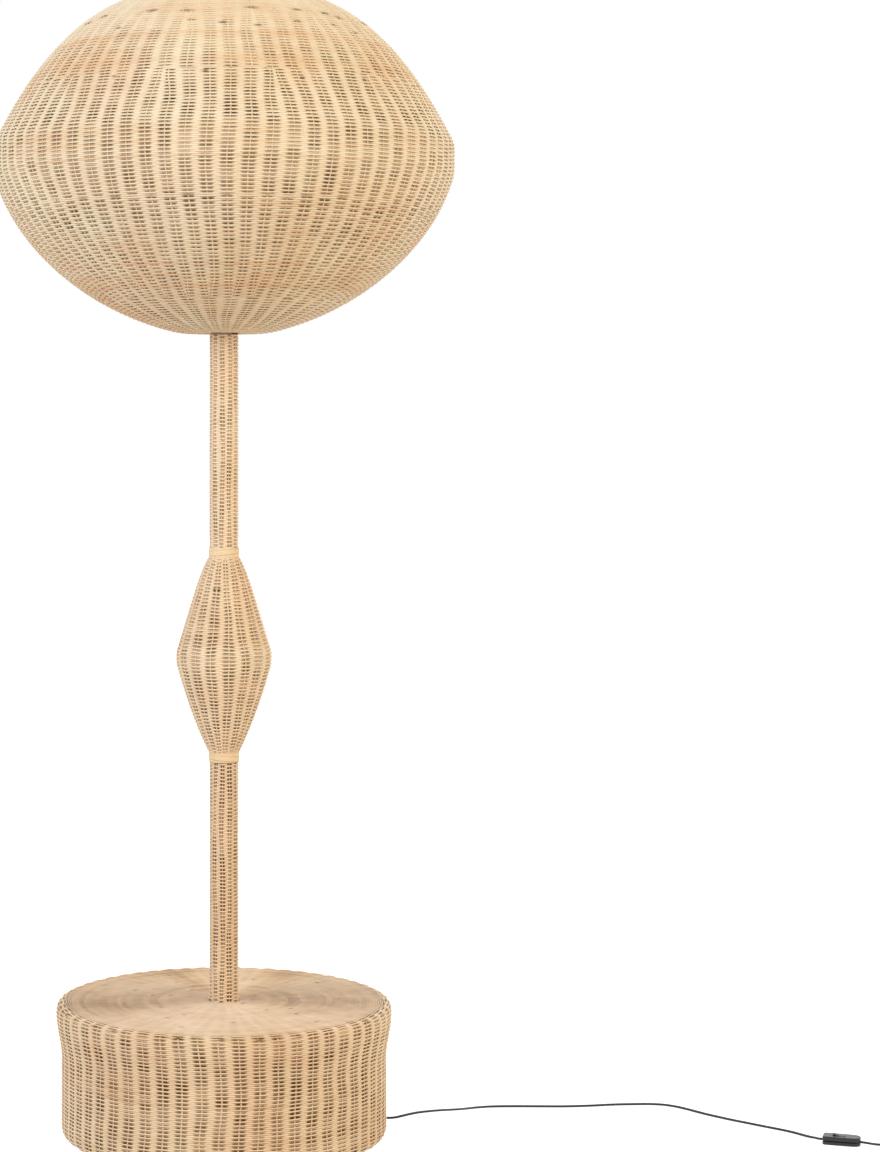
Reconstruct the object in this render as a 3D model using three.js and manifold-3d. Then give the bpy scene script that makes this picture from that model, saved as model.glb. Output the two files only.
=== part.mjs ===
// Rattan floor lamp: a woven drum base, a woven column with a diamond-shaped bulge, and a wide lens-shaped
// woven shade, over a steel tube and wire frames, with a cord, a switch in the cord and a coiled tail.
// Millimetres, +Z up. The origin is on the floor, on the lamp's axis.
import * as THREE from 'three';
import { mergeVertices } from 'three/addons/utils/BufferGeometryUtils.js';
import Module from 'manifold-3d';

const wasm = await Module();
wasm.setup();

// Sizes that several pieces share
const CLEARANCE = 0.3; // gap between pieces that touch
const OVERRUN = 1; // how far a cutting tool passes the face that it leaves
const MERGE = 0.0001; // vertices nearer than this are one
const WEAVE_WALL = 5; // stakes with a strand on each side
const LASHING = 1.2; // room between a wire frame and the weave lashed to it

// Woven drum base
const BASE_HEIGHT = 172.5;
const BASE_RADIUS = 212.5;
const BASE_RIM_OVERHANG = 7; // how far the rim's widest ring stands out from the wall
const BASE_RIM_ROUND = 9.5; // from the widest ring in to the edge of the flat top
const BASE_RIM_DROP = 13.5; // from the top down to the widest ring of the rim
const BASE_FLARE_HEIGHT = 58; // from the widest ring down to the straight wall
const BASE_FOOT_TURN = 7.5; // how far the wall turns in at its foot
const BASE_FOOT_FLAT = 4; // width of the flat that the weave ends in under the board's edge
const BASE_FOOT_ROUND = 13;
const BASE_LIFT = 0.5; // the weave stops just above the floor

// Board, feet, weight and flange inside the base
const BOARD_THICKNESS = 8;
const FOOT_HEIGHT = 3;
const FOOT_RADIUS = 14;
const FOOT_INSET = 30.7; // a foot's middle, in from the board's edge
const BALLAST_RADIUS = 130;
const BALLAST_THICKNESS = 14;
const BALLAST_CHAMFER = 2;
const FLANGE_RADIUS = 45;
const FLANGE_THICKNESS = 5;
const HUB_WALL = 5.2;
const HUB_HEIGHT = 20;
const FLANGE_BOLT_INSET = 11; // a bolt's middle, in from the flange's edge
const BOLT_RADIUS = 3;
const BOLT_HEAD_RADIUS = 5.8;
const BOLT_HEAD_HEIGHT = 4;
const BOLT_GRIP = 9; // how far a bolt goes into the weight
const PLATE_SCREW_RADIUS = 2.5;
const PLATE_SCREW_HEAD_RADIUS = 4.8;
const PLATE_SCREW_HEAD_HEIGHT = 2.6;
const PLATE_SCREW_GRIP = 8; // how far a board screw goes into the weight
const PLATE_SCREW_INSET = 30; // a board screw's middle, in from the weight's edge

// Welded wire frame in the base
const BASE_ROD_RADIUS = 2.5;
const BASE_COLLAR_WALL = 9.2;
const BASE_COLLAR_HEIGHT = 10;

// Tube and woven column
const TUBE_RADIUS = 12.5;
const TUBE_WALL = 1.5;
const TUBE_TOP_HEIGHT = 1045;
const COLUMN_WEAVE = 7; // the woven column, out from the tube
const CORD_SLOT_WIDTH = 8;
const CORD_SLOT_HEIGHT = 22;
const CORD_SLOT_LEVEL = 70; // middle of the slot in the tube where the cord goes in

// Diamond-shaped bulge
const BULGE_BOTTOM = 494;
const BULGE_RADIUS = 63.2;
const BULGE_LOWER_HEIGHT = 117;
const BULGE_BAND_HEIGHT = 17; // the widest band
const BULGE_UPPER_HEIGHT = 124;
const BINDING_STEP = 1.1; // a binding stands out from the column by this
const BINDING_HEIGHT = 9.5;
const BULGE_ROD_RADIUS = 1.5;

// Lens-shaped shade
const SHADE_RADIUS = 301;
const SHADE_SEAT_DROP = 2; // the shade's underside, below the tube's top
const SHADE_FLAT_RADIUS = 60;
const SHADE_BOWL_HEIGHT = 207;
const SHADE_BAND_HEIGHT = 38; // the widest band
const SHADE_DOME_HEIGHT = 195;
const SHADE_MOUTH_RADIUS = 100;
const SHADE_BORDER_RADIUS = 5.5;
const SHADE_ROD_RADIUS = 2.5;

// Stack that holds the shade and the lampholder on the tube
const BUSH_DEPTH = 24;
const BUSH_FLANGE = 3;
const NIPPLE_RADIUS = 5;
const NIPPLE_BORE_RADIUS = 3.6;
const NIPPLE_DEPTH = 16; // below the bush's flange
const SPIDER_MARGIN = 5.5; // the spider's disc, out past the tube
const SPIDER_THICKNESS = 2.5;
const WASHER_RADIUS = 11;
const WASHER_THICKNESS = 1.5;
const NUT_RADIUS = 8.6;
const NUT_HEIGHT = 5;

// Lampholder and bulb
const HOLDER_RADIUS = 20;
const HOLDER_WALL = 2.2;
const HOLDER_FLOOR = 3;
const HOLDER_CAP_HEIGHT = 22;
const HOLDER_LEDGE_HEIGHT = 11; // ledge that carries the insulator, above the cap's underside
const HOLDER_LEDGE_WIDTH = 2.6;
const HOLDER_SHELL_HEIGHT = 36;
const HOLDER_RIM_STEP = 1.6; // the shell's grip bead stands out by this
const INSULATOR_HEIGHT = 17;
const CONTACT_RADIUS = 4;
const CONTACT_HEIGHT = 2.4;
const SLEEVE_RADIUS = 14.2;
const SLEEVE_WALL = 0.8;
const SLEEVE_HEIGHT = 22;
const BULB_CAP_LENGTH = 24;
const BULB_TIP_RADIUS = 5;
const BULB_TIP_HEIGHT = 3;
const BULB_RADIUS = 30;
const BULB_LENGTH = 80;
const BULB_GLASS_WALL = 1.2;

// Flat two-core cord
const CORD_WIDTH = 4.8;
const CORD_THICKNESS = 2.4;
const CORD_CORNER = 0.7;
const EXIT_TURN = -4 * Math.PI / 180; // where round the base the cord leaves
const EXIT_HEIGHT = 21;
const BUSHING_RADIUS = 4.2;
const BUSHING_BORE_RADIUS = 3;
const BUSHING_FLANGE_RADIUS = 6;
const BUSHING_FLANGE = 1.2;

// Switch in the cord
const SWITCH_X = 770.5;
const SWITCH_Y = -56.5;
const SWITCH_TURN = -18 * Math.PI / 180;
const SWITCH_LENGTH = 47;
const SWITCH_WIDTH = 22;
const SWITCH_BASE_HEIGHT = 4.6;
const SWITCH_COVER_HEIGHT = 5.8;
const SWITCH_CORNER = 2;
const SWITCH_NOSE_LENGTH = 15;
const SWITCH_NOSE_WIDTH = 9;
const SWITCH_EDGE = 0.8;
const SWITCH_FLOOR = 1.4;
const ROCKER_LENGTH = 15;
const ROCKER_WIDTH = 8;
const ROCKER_RISE = 1.6; // its ends above the cover
const ROCKER_DIP = 1.1; // its middle below its ends
const ROCKER_DEPTH = 4.2; // its underside below the cover's top
const ROCKER_PLACE = 20; // its middle, from the square end
const ROCKER_TILT = 7 * Math.PI / 180;
const ROCKER_WINDOW_GAP = 0.8;
const PIVOT_DROP = 2.6; // pivot below the cover's top
const PIVOT_RADIUS = 1;
const PIVOT_GRIP = 1.5; // how far each end of the pin goes into the cover
const POCKET_MARGIN = 1.2; // room round the rocker under the window
const SWITCH_SCREW_RADIUS = 1.2;
const SWITCH_SCREW_HEAD_RADIUS = 2.2;
const SWITCH_SCREW_HEAD_HEIGHT = 1.4;
const SWITCH_SCREW_GRIP = 2.4;
const SWITCH_SCREW_INSET = 6;

// Coil of spare cord, its tie, and the plug
const COIL_X = 926;
const COIL_Y = -2;
const COIL_INNER_RADIUS = 21.5;
const COIL_PITCH = 3;
const COIL_LAYER = 5.4;
const COIL_LIFT = 0.9; // the lowest loops rest on the tie
const COIL_HEADING = 18 * Math.PI / 180; // direction in which the cord arrives
const COIL_TURNS_IN = 4;
const COIL_TURNS_OUT = 4 + 42 / 360;
const COIL_APPROACH = 56;
const COIL_EXIT = 24;
const TIE_WIDTH = 8;
const TIE_THICKNESS = 0.6;
const TIE_TURN = 100 * Math.PI / 180;
const TIE_CORNER = 2;
const PLUG_LENGTH = 36;
const PLUG_WIDTH = 35.3;
const PLUG_REAR_WIDTH = 15;
const PLUG_THICKNESS = 13.7;
const PLUG_EDGE = 2;
const RELIEF_LENGTH = 20;
const RELIEF_REAR_RADIUS = 3.4;
const RELIEF_FRONT_RADIUS = 5.4;
const PIN_RADIUS = 2;
const PIN_REACH = 19;
const PIN_DEPTH = 8;
const PIN_SPACING = 18.6;

// Counts: faces round and along each kind of form, and how often a piece repeats
const ROUND_LARGE = 36;
const ROUND_MIDDLE = 20;
const ROUND_SMALL = 14;
const ROUND_TINY = 10;
const HEX_SIDES = 6;
const BORDER_SIDES = 8;
const ROD_SIDES = 5;
const WOVEN_STEPS = 5; // straight pieces along each curve of a woven outline
const RIM_STEPS = 3;
const MOULDED_STEPS = 4;
const LEAD_STEPS = 50; // one each two to three widths of the cord
const TAIL_STEPS = 7;
const INNER_STEPS = 24;
const FOOT_COUNT = 4;
const BOLT_COUNT = 3;
const PLATE_SCREW_COUNT = 4;
const BASE_POST_COUNT = 6;
const BULGE_RIB_COUNT = 4;
const SHADE_RIB_COUNT = 6;
const COIL_STEPS = 24;

// Route of the lead over the floor, from the base to the switch, and of the tail from the switch to the
// coil: places chosen by eye, the cord's middle at each
const LEAD_ROUTE = [
  [217.5, -15.2, 21.2], [223.5, -15.4, 21.9], [231, -14, 23.2], [240, -10.5, 24.4], [252, -3, 24.8],
  [268, 9.5, 23.4], [286, 29, 19.8], [304, 51, 15], [322, 77, 9.5], [342, 103, 4.8], [365, 119, 2],
  [398, 122, 1.5], [430, 121.5, 1.5], [463, 121.5, 1.5], [496, 125, 1.5], [529, 131, 1.5], [562, 133.4, 1.5],
  [581, 133.4, 1.5], [596, 130, 1.5], [610, 121.5, 1.5], [623, 108, 1.5], [636, 91.5, 1.5], [649, 76, 1.5],
  [663, 61.5, 1.5], [676, 48.5, 1.5], [690, 36, 1.5], [703, 24, 1.5], [717, 11.5, 1.5], [730, 0, 1.5],
  [742, -12.5, 1.5], [751, -25.5, 1.7], [757.5, -38, 2.6], [763, -48, 3.8],
];
const TAIL_ROUTE = [
  [822.5, -74.1, 4.2], [830, -75.2, 3.2], [838, -73.8, 2.1], [847, -71, 1.5], [857, -67.7, 1.5],
];
// Route of the cord inside the base: distance from the axis along the cord's exit direction, as a share of
// the base's radius, and height
const INNER_ROUTE_SHARES = [
  [0.965, 21], [0.871, 21.5], [0.753, 25], [0.612, 34], [0.447, 46], [0.306, 55], [0.198, 58.5],
  [0.104, 64], [0.038, 76], [0.005, 94],
];

const stroke = Math.hypot(CORD_WIDTH, CORD_THICKNESS);
const flatShare = Math.cos(Math.PI / ROUND_LARGE); // how far out the flat faces of a large round form lie

// Levels of the stack in the base, bottom to top
const boardBottom = FOOT_HEIGHT + CLEARANCE;
const boardTop = boardBottom + BOARD_THICKNESS;
const ballastBottom = boardTop + CLEARANCE;
const ballastTop = ballastBottom + BALLAST_THICKNESS;
const flangeBottom = ballastTop + CLEARANCE;
const flangeTop = flangeBottom + FLANGE_THICKNESS;
const tubeBottom = flangeBottom;
const baseFootRadius = BASE_RADIUS - BASE_FOOT_TURN;
const boardRadius = baseFootRadius - BASE_FOOT_FLAT - CLEARANCE;
const footCircle = boardRadius - FOOT_INSET;
const flangeBoltCircle = FLANGE_RADIUS - FLANGE_BOLT_INSET;
const plateScrewCircle = BALLAST_RADIUS - PLATE_SCREW_INSET;
const baseRodLow = boardTop + CLEARANCE + BASE_ROD_RADIUS;
const baseRodHigh = BASE_HEIGHT - WEAVE_WALL - CLEARANCE - BASE_ROD_RADIUS;
const baseHoopRadius = boardRadius - BASE_ROD_RADIUS;
const baseCollarTop = BASE_HEIGHT - WEAVE_WALL - CLEARANCE;
const tubeBore = TUBE_RADIUS - TUBE_WALL;
const sleeveFit = TUBE_RADIUS + CLEARANCE;
const columnRadius = TUBE_RADIUS + COLUMN_WEAVE;
const bindingRadius = columnRadius + BINDING_STEP;

// Levels of the bulge and the shade
const bulgeBandLow = BULGE_BOTTOM + BULGE_LOWER_HEIGHT;
const bulgeBandHigh = bulgeBandLow + BULGE_BAND_HEIGHT;
const bulgeTop = bulgeBandHigh + BULGE_UPPER_HEIGHT;
const shadeBottom = TUBE_TOP_HEIGHT - SHADE_SEAT_DROP;
const shadeBandLow = shadeBottom + SHADE_BOWL_HEIGHT;
const shadeBandHigh = shadeBandLow + SHADE_BAND_HEIGHT;
const shadeMouth = shadeBandHigh + SHADE_DOME_HEIGHT;

// Levels of the stack on top of the tube
const bushTop = TUBE_TOP_HEIGHT + CLEARANCE + BUSH_FLANGE;
const spiderBottom = Math.max(bushTop, shadeBottom + WEAVE_WALL) + CLEARANCE;
const spiderTop = spiderBottom + SPIDER_THICKNESS;
const washerBottom = spiderTop + CLEARANCE;
const nutBottom = washerBottom + WASHER_THICKNESS + CLEARANCE;
const holderBottom = nutBottom + NUT_HEIGHT + CLEARANCE;
const nippleTop = holderBottom + HOLDER_FLOOR + CLEARANCE;
const capTop = holderBottom + HOLDER_CAP_HEIGHT;
const insulatorBottom = holderBottom + HOLDER_LEDGE_HEIGHT + CLEARANCE;
const insulatorTop = insulatorBottom + INSULATOR_HEIGHT;
const insulatorRadius = HOLDER_RADIUS - HOLDER_WALL - CLEARANCE;
const cordHoleTop = insulatorTop - INSULATOR_HEIGHT / 2;
const shellBottom = capTop + CLEARANCE;
const shellTop = shellBottom + HOLDER_SHELL_HEIGHT;
const sleeveBottom = insulatorTop + CLEARANCE;
const contactTop = insulatorTop + CLEARANCE + CONTACT_HEIGHT;
const bulbBottom = contactTop + CLEARANCE;
const bulbCapRadius = SLEEVE_RADIUS - SLEEVE_WALL - CLEARANCE;
const bulbCapTop = bulbBottom + BULB_CAP_LENGTH;

const switchTop = SWITCH_BASE_HEIGHT + CLEARANCE + SWITCH_COVER_HEIGHT;
const coilOuterRadius = COIL_INNER_RADIUS + COIL_PITCH * COIL_TURNS_IN;
const coilLow = COIL_LIFT + CORD_WIDTH / 2;
const coilHigh = coilLow + COIL_LAYER;

// Finishes
const finish = (color, roughness, metalness = 0) =>
  new THREE.MeshStandardMaterial({ color, roughness, metalness });
const rattan = finish(0xdcb887, 0.62);
const rattanPale = finish(0xe6c999, 0.55);
const steel = finish(0x8a8c8f, 0.4, 0.9);
const blackSteel = finish(0x2a2a2b, 0.5, 0.6);
const iron = finish(0x4a4a4c, 0.7, 0.5);
const plywood = finish(0xc9a877, 0.7);
const rubber = finish(0x1d1d1e, 0.8);
const blackPlastic = finish(0x19191b, 0.45);
const brass = finish(0xc2a14d, 0.35, 0.9);
const ceramic = finish(0xe9e6df, 0.5);
const glass = finish(0xf4f3ee, 0.15);

// A closed solid from any of three's geometries: shared vertices merged, collapsed faces dropped, and the
// faces turned out where the signed volume is negative
function closed(geometry) {
  const bare = new THREE.BufferGeometry();
  bare.setAttribute('position', geometry.getAttribute('position').clone());
  if (geometry.index) bare.setIndex(Array.from(geometry.index.array));
  const merged = mergeVertices(bare, MERGE);
  const corners = merged.index.array;
  const place = merged.getAttribute('position');
  const faces = [];
  let volume = 0;
  const [a, b, c] = [new THREE.Vector3(), new THREE.Vector3(), new THREE.Vector3()];
  for (let i = 0; i < corners.length; i += 3) {
    const [p, q, r] = [corners[i], corners[i + 1], corners[i + 2]];
    if (p === q || q === r || r === p) continue;
    faces.push([p, q, r]);
    a.fromBufferAttribute(place, p);
    b.fromBufferAttribute(place, q);
    c.fromBufferAttribute(place, r);
    volume += a.dot(b.cross(c));
  }
  const turned = volume < 0 ? faces.map(([p, q, r]) => [p, r, q]) : faces;
  merged.setIndex(turned.flat());
  return merged;
}

function toSolid(geometry) {
  const source = closed(geometry);
  return new wasm.Manifold(new wasm.Mesh({
    numProp: 3,
    vertProperties: new Float32Array(source.getAttribute('position').array),
    triVerts: new Uint32Array(source.index.array),
  }));
}

function fromSolid(solid) {
  const mesh = solid.getMesh();
  const geometry = new THREE.BufferGeometry();
  geometry.setAttribute('position', new THREE.BufferAttribute(mesh.vertProperties.slice(), 3));
  geometry.setIndex(new THREE.BufferAttribute(mesh.triVerts.slice(), 1));
  return geometry;
}

const join = (...geometries) => fromSolid(geometries.map(toSolid).reduce((all, next) => all.add(next)));
const cut = (body, ...tools) =>
  fromSolid(tools.map(toSolid).reduce((rest, tool) => rest.subtract(tool), toSolid(body)));

// A solid of revolution about Z from [radius, height] corners. An open profile starts and ends on the axis.
function turned(corners, segments, ring = false) {
  const points = corners.map(([radius, height]) => new THREE.Vector2(radius, height));
  if (ring) points.push(points[0].clone());
  return new THREE.LatheGeometry(points, segments).rotateX(Math.PI / 2);
}

const pipe = (inner, outer, low, high, segments) =>
  turned([[outer, low], [outer, high], [inner, high], [inner, low]], segments, true);
const puck = (radius, low, high, segments) =>
  turned([[0, low], [radius, low], [radius, high], [0, high]], segments);

// Profile of a woven wall, or of its stretch between two corners, from the wall's outer points: along the
// outside and back along the inside
const wallProfile = (points, wall, first = 0, last = points.length - 1) =>
  [...points.slice(first, last + 1), ...inset(points, wall).slice(first, last + 1).reverse()]
    .map((p) => [p.x, p.y]);

// An outline moved inwards by a distance: each corner goes along the mean of its two sides' normals
function inset(points, distance) {
  const sides = points.slice(1).map((p, i) => p.clone().sub(points[i]).normalize());
  return points.map((p, i) => {
    const before = sides[Math.max(i - 1, 0)];
    const after = sides[Math.min(i, sides.length - 1)];
    const along = before.clone().add(after).normalize();
    const reach = distance / along.dot(after);
    return new THREE.Vector2(p.x + along.y * reach, p.y - along.x * reach);
  });
}

// Rings of one section along a path. Each step holds the section's middle and the direction of its width.
function sweepRings(steps, section) {
  return steps.map(({ at, wide }, i) => {
    const before = steps[Math.max(i - 1, 0)].at;
    const after = steps[Math.min(i + 1, steps.length - 1)].at;
    const along = after.clone().sub(before).normalize();
    const across = wide.clone().addScaledVector(along, -wide.dot(along)).normalize();
    const thin = along.clone().cross(across);
    return section.map(([a, b]) => at.clone().addScaledVector(across, a).addScaledVector(thin, b));
  });
}

// One closed tube through the rings
function sweep(rings) {
  const n = rings[0].length;
  const last = (rings.length - 1) * n;
  const index = [];
  for (let i = 0; i < last; i += n) {
    for (let j = 0; j < n; j += 1) {
      const [a, b] = [i + j, i + (j + 1) % n];
      index.push(a, b, a + n, b, b + n, a + n);
    }
  }
  for (let j = 1; j + 1 < n; j += 1) index.push(0, j + 1, j, last, last + j, last + j + 1);
  const geometry = new THREE.BufferGeometry().setFromPoints(rings.flat());
  return geometry.setIndex(index);
}

const polygon = (radius, sides) => Array.from({ length: sides }, (_, i) => {
  const angle = 2 * Math.PI * (i + 1 / 2) / sides;
  return [radius * Math.cos(angle), radius * Math.sin(angle)];
});

// A tube through points that lie in one plane through the axis, with its section's width across that plane
function tubeInPlane(points, section) {
  const wide = new THREE.Vector3(-points[0].y, points[0].x, 0);
  return sweep(sweepRings(points.map((at) => ({ at, wide })), section));
}

const rod = (points, radius, sides = ROD_SIDES) => tubeInPlane(points, polygon(radius, sides));
const hoop = (radius, level, rodRadius, segments) =>
  new THREE.TorusGeometry(radius, rodRadius, ROD_SIDES, segments).translate(0, 0, level);
const around = (radius, angle, level) =>
  new THREE.Vector3(radius * Math.cos(angle), radius * Math.sin(angle), level);
const turns = (count, offset = 0) =>
  Array.from({ length: count }, (_, i) => 2 * Math.PI * (i + offset) / count);

// Flat cord: a section with its corners taken off for the stretches on the floor, and one with pointed
// edges for the stretches that are wound or hidden
function cordSection() {
  const [x, y, c] = [CORD_THICKNESS / 2, CORD_WIDTH / 2, CORD_CORNER];
  const quarter = [[x, y - c], [x - c, y]];
  const half = [...quarter, ...quarter.map(([a, b]) => [-a, b]).reverse()];
  const all = [...half, ...half.map(([a, b]) => [a, -b]).reverse()];
  return new THREE.Shape(all.map((p) => new THREE.Vector2(...p)));
}

const pointedSection = () => {
  const [w, t, k] = [CORD_WIDTH / 2, CORD_THICKNESS / 2, CORD_WIDTH / 2 - CORD_CORNER * 2];
  return [[w, 0], [k, t], [-k, t], [-w, 0], [-k, -t], [k, -t]];
};

const smoothCurve = (points) => new THREE.CatmullRomCurve3(points, false, 'centripetal');
const cordTube = (points, steps) =>
  new THREE.ExtrudeGeometry(cordSection(), { extrudePath: smoothCurve(points), steps, bevelEnabled: false });

// Named pieces
const lamp = new THREE.Group();
function piece(name, geometry, material, group = lamp) {
  const mesh = new THREE.Mesh(closed(geometry), material);
  mesh.name = name;
  group.add(mesh);
  return mesh;
}

// Outlines of the woven forms in [radius, height], each from its top round the outside to its bottom
function baseOutline() {
  const rim = BASE_RADIUS + BASE_RIM_OVERHANG;
  const rimLevel = BASE_HEIGHT - BASE_RIM_DROP;
  const wallTop = rimLevel - BASE_FLARE_HEIGHT;
  const flare = BASE_FLARE_HEIGHT / 3;
  return new THREE.Path()
    .moveTo(columnRadius + CLEARANCE, BASE_HEIGHT)
    .lineTo(rim - BASE_RIM_ROUND, BASE_HEIGHT)
    .quadraticCurveTo(rim, BASE_HEIGHT, rim, rimLevel)
    .bezierCurveTo(rim, rimLevel - flare, BASE_RADIUS, wallTop + flare, BASE_RADIUS, wallTop)
    .lineTo(BASE_RADIUS, BASE_LIFT + BASE_FOOT_ROUND)
    .quadraticCurveTo(BASE_RADIUS, BASE_LIFT, baseFootRadius, BASE_LIFT)
    .lineTo(baseFootRadius - BASE_FOOT_FLAT, BASE_LIFT);
}

// Shares of the way out from the column and of the half height, for the curves' handles
const BULGE_UPPER_SHARES = { high: [0.29, 0.883], low: [0.7, 0.303] };
const BULGE_LOWER_SHARES = { high: [0.766, 0.692], low: [0.309, 0.308] };

function bulgeOutline() {
  const spread = BULGE_RADIUS - columnRadius;
  const upper = ([out, up]) => [columnRadius + spread * out, bulgeBandHigh + BULGE_UPPER_HEIGHT * up];
  const lower = ([out, up]) => [columnRadius + spread * out, BULGE_BOTTOM + BULGE_LOWER_HEIGHT * up];
  return new THREE.Path()
    .moveTo(columnRadius, bulgeTop)
    .bezierCurveTo(...upper(BULGE_UPPER_SHARES.high), ...upper(BULGE_UPPER_SHARES.low),
      BULGE_RADIUS, bulgeBandHigh)
    .lineTo(BULGE_RADIUS, bulgeBandLow)
    .bezierCurveTo(...lower(BULGE_LOWER_SHARES.high), ...lower(BULGE_LOWER_SHARES.low),
      columnRadius, BULGE_BOTTOM);
}

// Shares of the shade's radius and of its half heights, for the curves' handles
const SHADE_UPPER_SHARES = { high: [0.707, 0.885], low: [0.903, 0.281] };
const SHADE_LOWER_SHARES = { high: [0.928, 0.572], low: [0.615, 0.134] };

function shadeOutline() {
  const upper = ([out, up]) => [SHADE_RADIUS * out, shadeBandHigh + SHADE_DOME_HEIGHT * up];
  const lower = ([out, up]) => [SHADE_RADIUS * out, shadeBottom + SHADE_BOWL_HEIGHT * up];
  return new THREE.Path()
    .moveTo(SHADE_MOUTH_RADIUS, shadeMouth)
    .bezierCurveTo(...upper(SHADE_UPPER_SHARES.high), ...upper(SHADE_UPPER_SHARES.low),
      SHADE_RADIUS, shadeBandHigh)
    .lineTo(SHADE_RADIUS, shadeBandLow)
    .bezierCurveTo(...lower(SHADE_LOWER_SHARES.high), ...lower(SHADE_LOWER_SHARES.low),
      SHADE_FLAT_RADIUS, shadeBottom)
    .lineTo(TUBE_RADIUS + 2 * CLEARANCE, shadeBottom);
}

// Woven base with the hole for the cord's bushing
function addBase() {
  const exit = around(1, EXIT_TURN, 0);
  const from = exit.clone().multiplyScalar(baseFootRadius - WEAVE_WALL).setZ(EXIT_HEIGHT);
  const to = exit.clone().multiplyScalar(BASE_RADIUS + WEAVE_WALL).setZ(EXIT_HEIGHT);
  const drum = turned(wallProfile(baseOutline().getPoints(RIM_STEPS), WEAVE_WALL), ROUND_LARGE, true);
  piece('base_weave', cut(drum, rod([from, to], BUSHING_RADIUS + CLEARANCE, ROUND_TINY)), rattan);

  const board = puck(boardRadius, boardBottom, boardTop, ROUND_LARGE);
  piece('bottom_board', cut(board, ...screwHoles()), plywood);
  turns(FOOT_COUNT, 1 / 2).forEach((turn, i) => {
    const foot = puck(FOOT_RADIUS, 0, FOOT_HEIGHT, ROUND_SMALL);
    const { x, y } = around(footCircle, turn, 0);
    piece(`foot_pad_${i + 1}`, foot, rubber).position.set(x, y, 0);
  });
  turns(PLATE_SCREW_COUNT).forEach((turn, i) => {
    const { x, y } = around(plateScrewCircle, turn, 0);
    piece(`board_screw_${i + 1}`, boardScrew(0), steel).position.set(x, y, boardBottom);
  });
}

// Screw through the board into the weight, its head sunk in the board's underside, from a bottom at zero.
// With room it is the hole that takes the screw.
function boardScrew(room) {
  const head = PLATE_SCREW_HEAD_HEIGHT + room;
  const shank = BOARD_THICKNESS + CLEARANCE + PLATE_SCREW_GRIP + room;
  return turned([
    [0, -room], [PLATE_SCREW_HEAD_RADIUS + room, -room], [PLATE_SCREW_RADIUS + room, head],
    [PLATE_SCREW_RADIUS + room, shank], [0, shank],
  ], ROUND_TINY);
}

const screwHoles = () => turns(PLATE_SCREW_COUNT).map((turn) => {
  const { x, y, z } = around(plateScrewCircle, turn, boardBottom);
  return boardScrew(CLEARANCE).translate(x, y, z);
});

// Cast weight, flange and bolts
function addBallast() {
  const c = BALLAST_CHAMFER;
  const disc = turned([
    [0, ballastBottom], [BALLAST_RADIUS - c, ballastBottom], [BALLAST_RADIUS, ballastBottom + c],
    [BALLAST_RADIUS, ballastTop - c], [BALLAST_RADIUS - c, ballastTop], [0, ballastTop],
  ], ROUND_MIDDLE);
  const boltFoot = ballastTop - BOLT_GRIP;
  const bolts = turns(BOLT_COUNT).map((turn) => {
    const { x, y } = around(flangeBoltCircle, turn, 0);
    const hole = puck(BOLT_RADIUS + CLEARANCE, boltFoot - CLEARANCE, flangeTop + OVERRUN, ROUND_TINY);
    return hole.translate(x, y, 0);
  });
  piece('ballast_disc', cut(disc, ...screwHoles(), ...bolts), iron);

  const hubRadius = sleeveFit + HUB_WALL;
  const flange = turned([
    [sleeveFit, flangeBottom], [FLANGE_RADIUS, flangeBottom], [FLANGE_RADIUS, flangeTop],
    [hubRadius, flangeTop], [hubRadius, flangeTop + HUB_HEIGHT], [sleeveFit, flangeTop + HUB_HEIGHT],
  ], ROUND_MIDDLE, true);
  piece('pole_flange', cut(flange, ...bolts), blackSteel);

  turns(BOLT_COUNT).forEach((turn, i) => {
    const headBottom = flangeTop + CLEARANCE;
    const shank = puck(BOLT_RADIUS, boltFoot, headBottom + BOLT_HEAD_HEIGHT / 2, ROUND_TINY);
    const head = puck(BOLT_HEAD_RADIUS, headBottom, headBottom + BOLT_HEAD_HEIGHT, HEX_SIDES);
    const { x, y } = around(flangeBoltCircle, turn, 0);
    piece(`flange_bolt_${i + 1}`, join(shank, head), steel).position.set(x, y, 0);
  });
}

// Welded frame in the base: two hoops, posts between them, and arms to the collar round the tube
function addBaseFrame() {
  const collarRadius = sleeveFit + BASE_COLLAR_WALL;
  const parts = [
    hoop(baseHoopRadius, baseRodLow, BASE_ROD_RADIUS, ROUND_LARGE / 2),
    hoop(baseHoopRadius, baseRodHigh, BASE_ROD_RADIUS, ROUND_LARGE / 2),
    pipe(sleeveFit, collarRadius, baseCollarTop - BASE_COLLAR_HEIGHT, baseCollarTop, ROUND_SMALL),
  ];
  const armStart = (sleeveFit + collarRadius) / 2;
  for (const turn of turns(BASE_POST_COUNT, 1 / 2)) {
    const head = around(baseHoopRadius, turn, baseRodHigh);
    parts.push(rod([around(baseHoopRadius, turn, baseRodLow), head], BASE_ROD_RADIUS));
    parts.push(rod([around(armStart, turn, baseRodHigh), head], BASE_ROD_RADIUS));
  }
  piece('base_frame', join(...parts), blackSteel);
}

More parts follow.
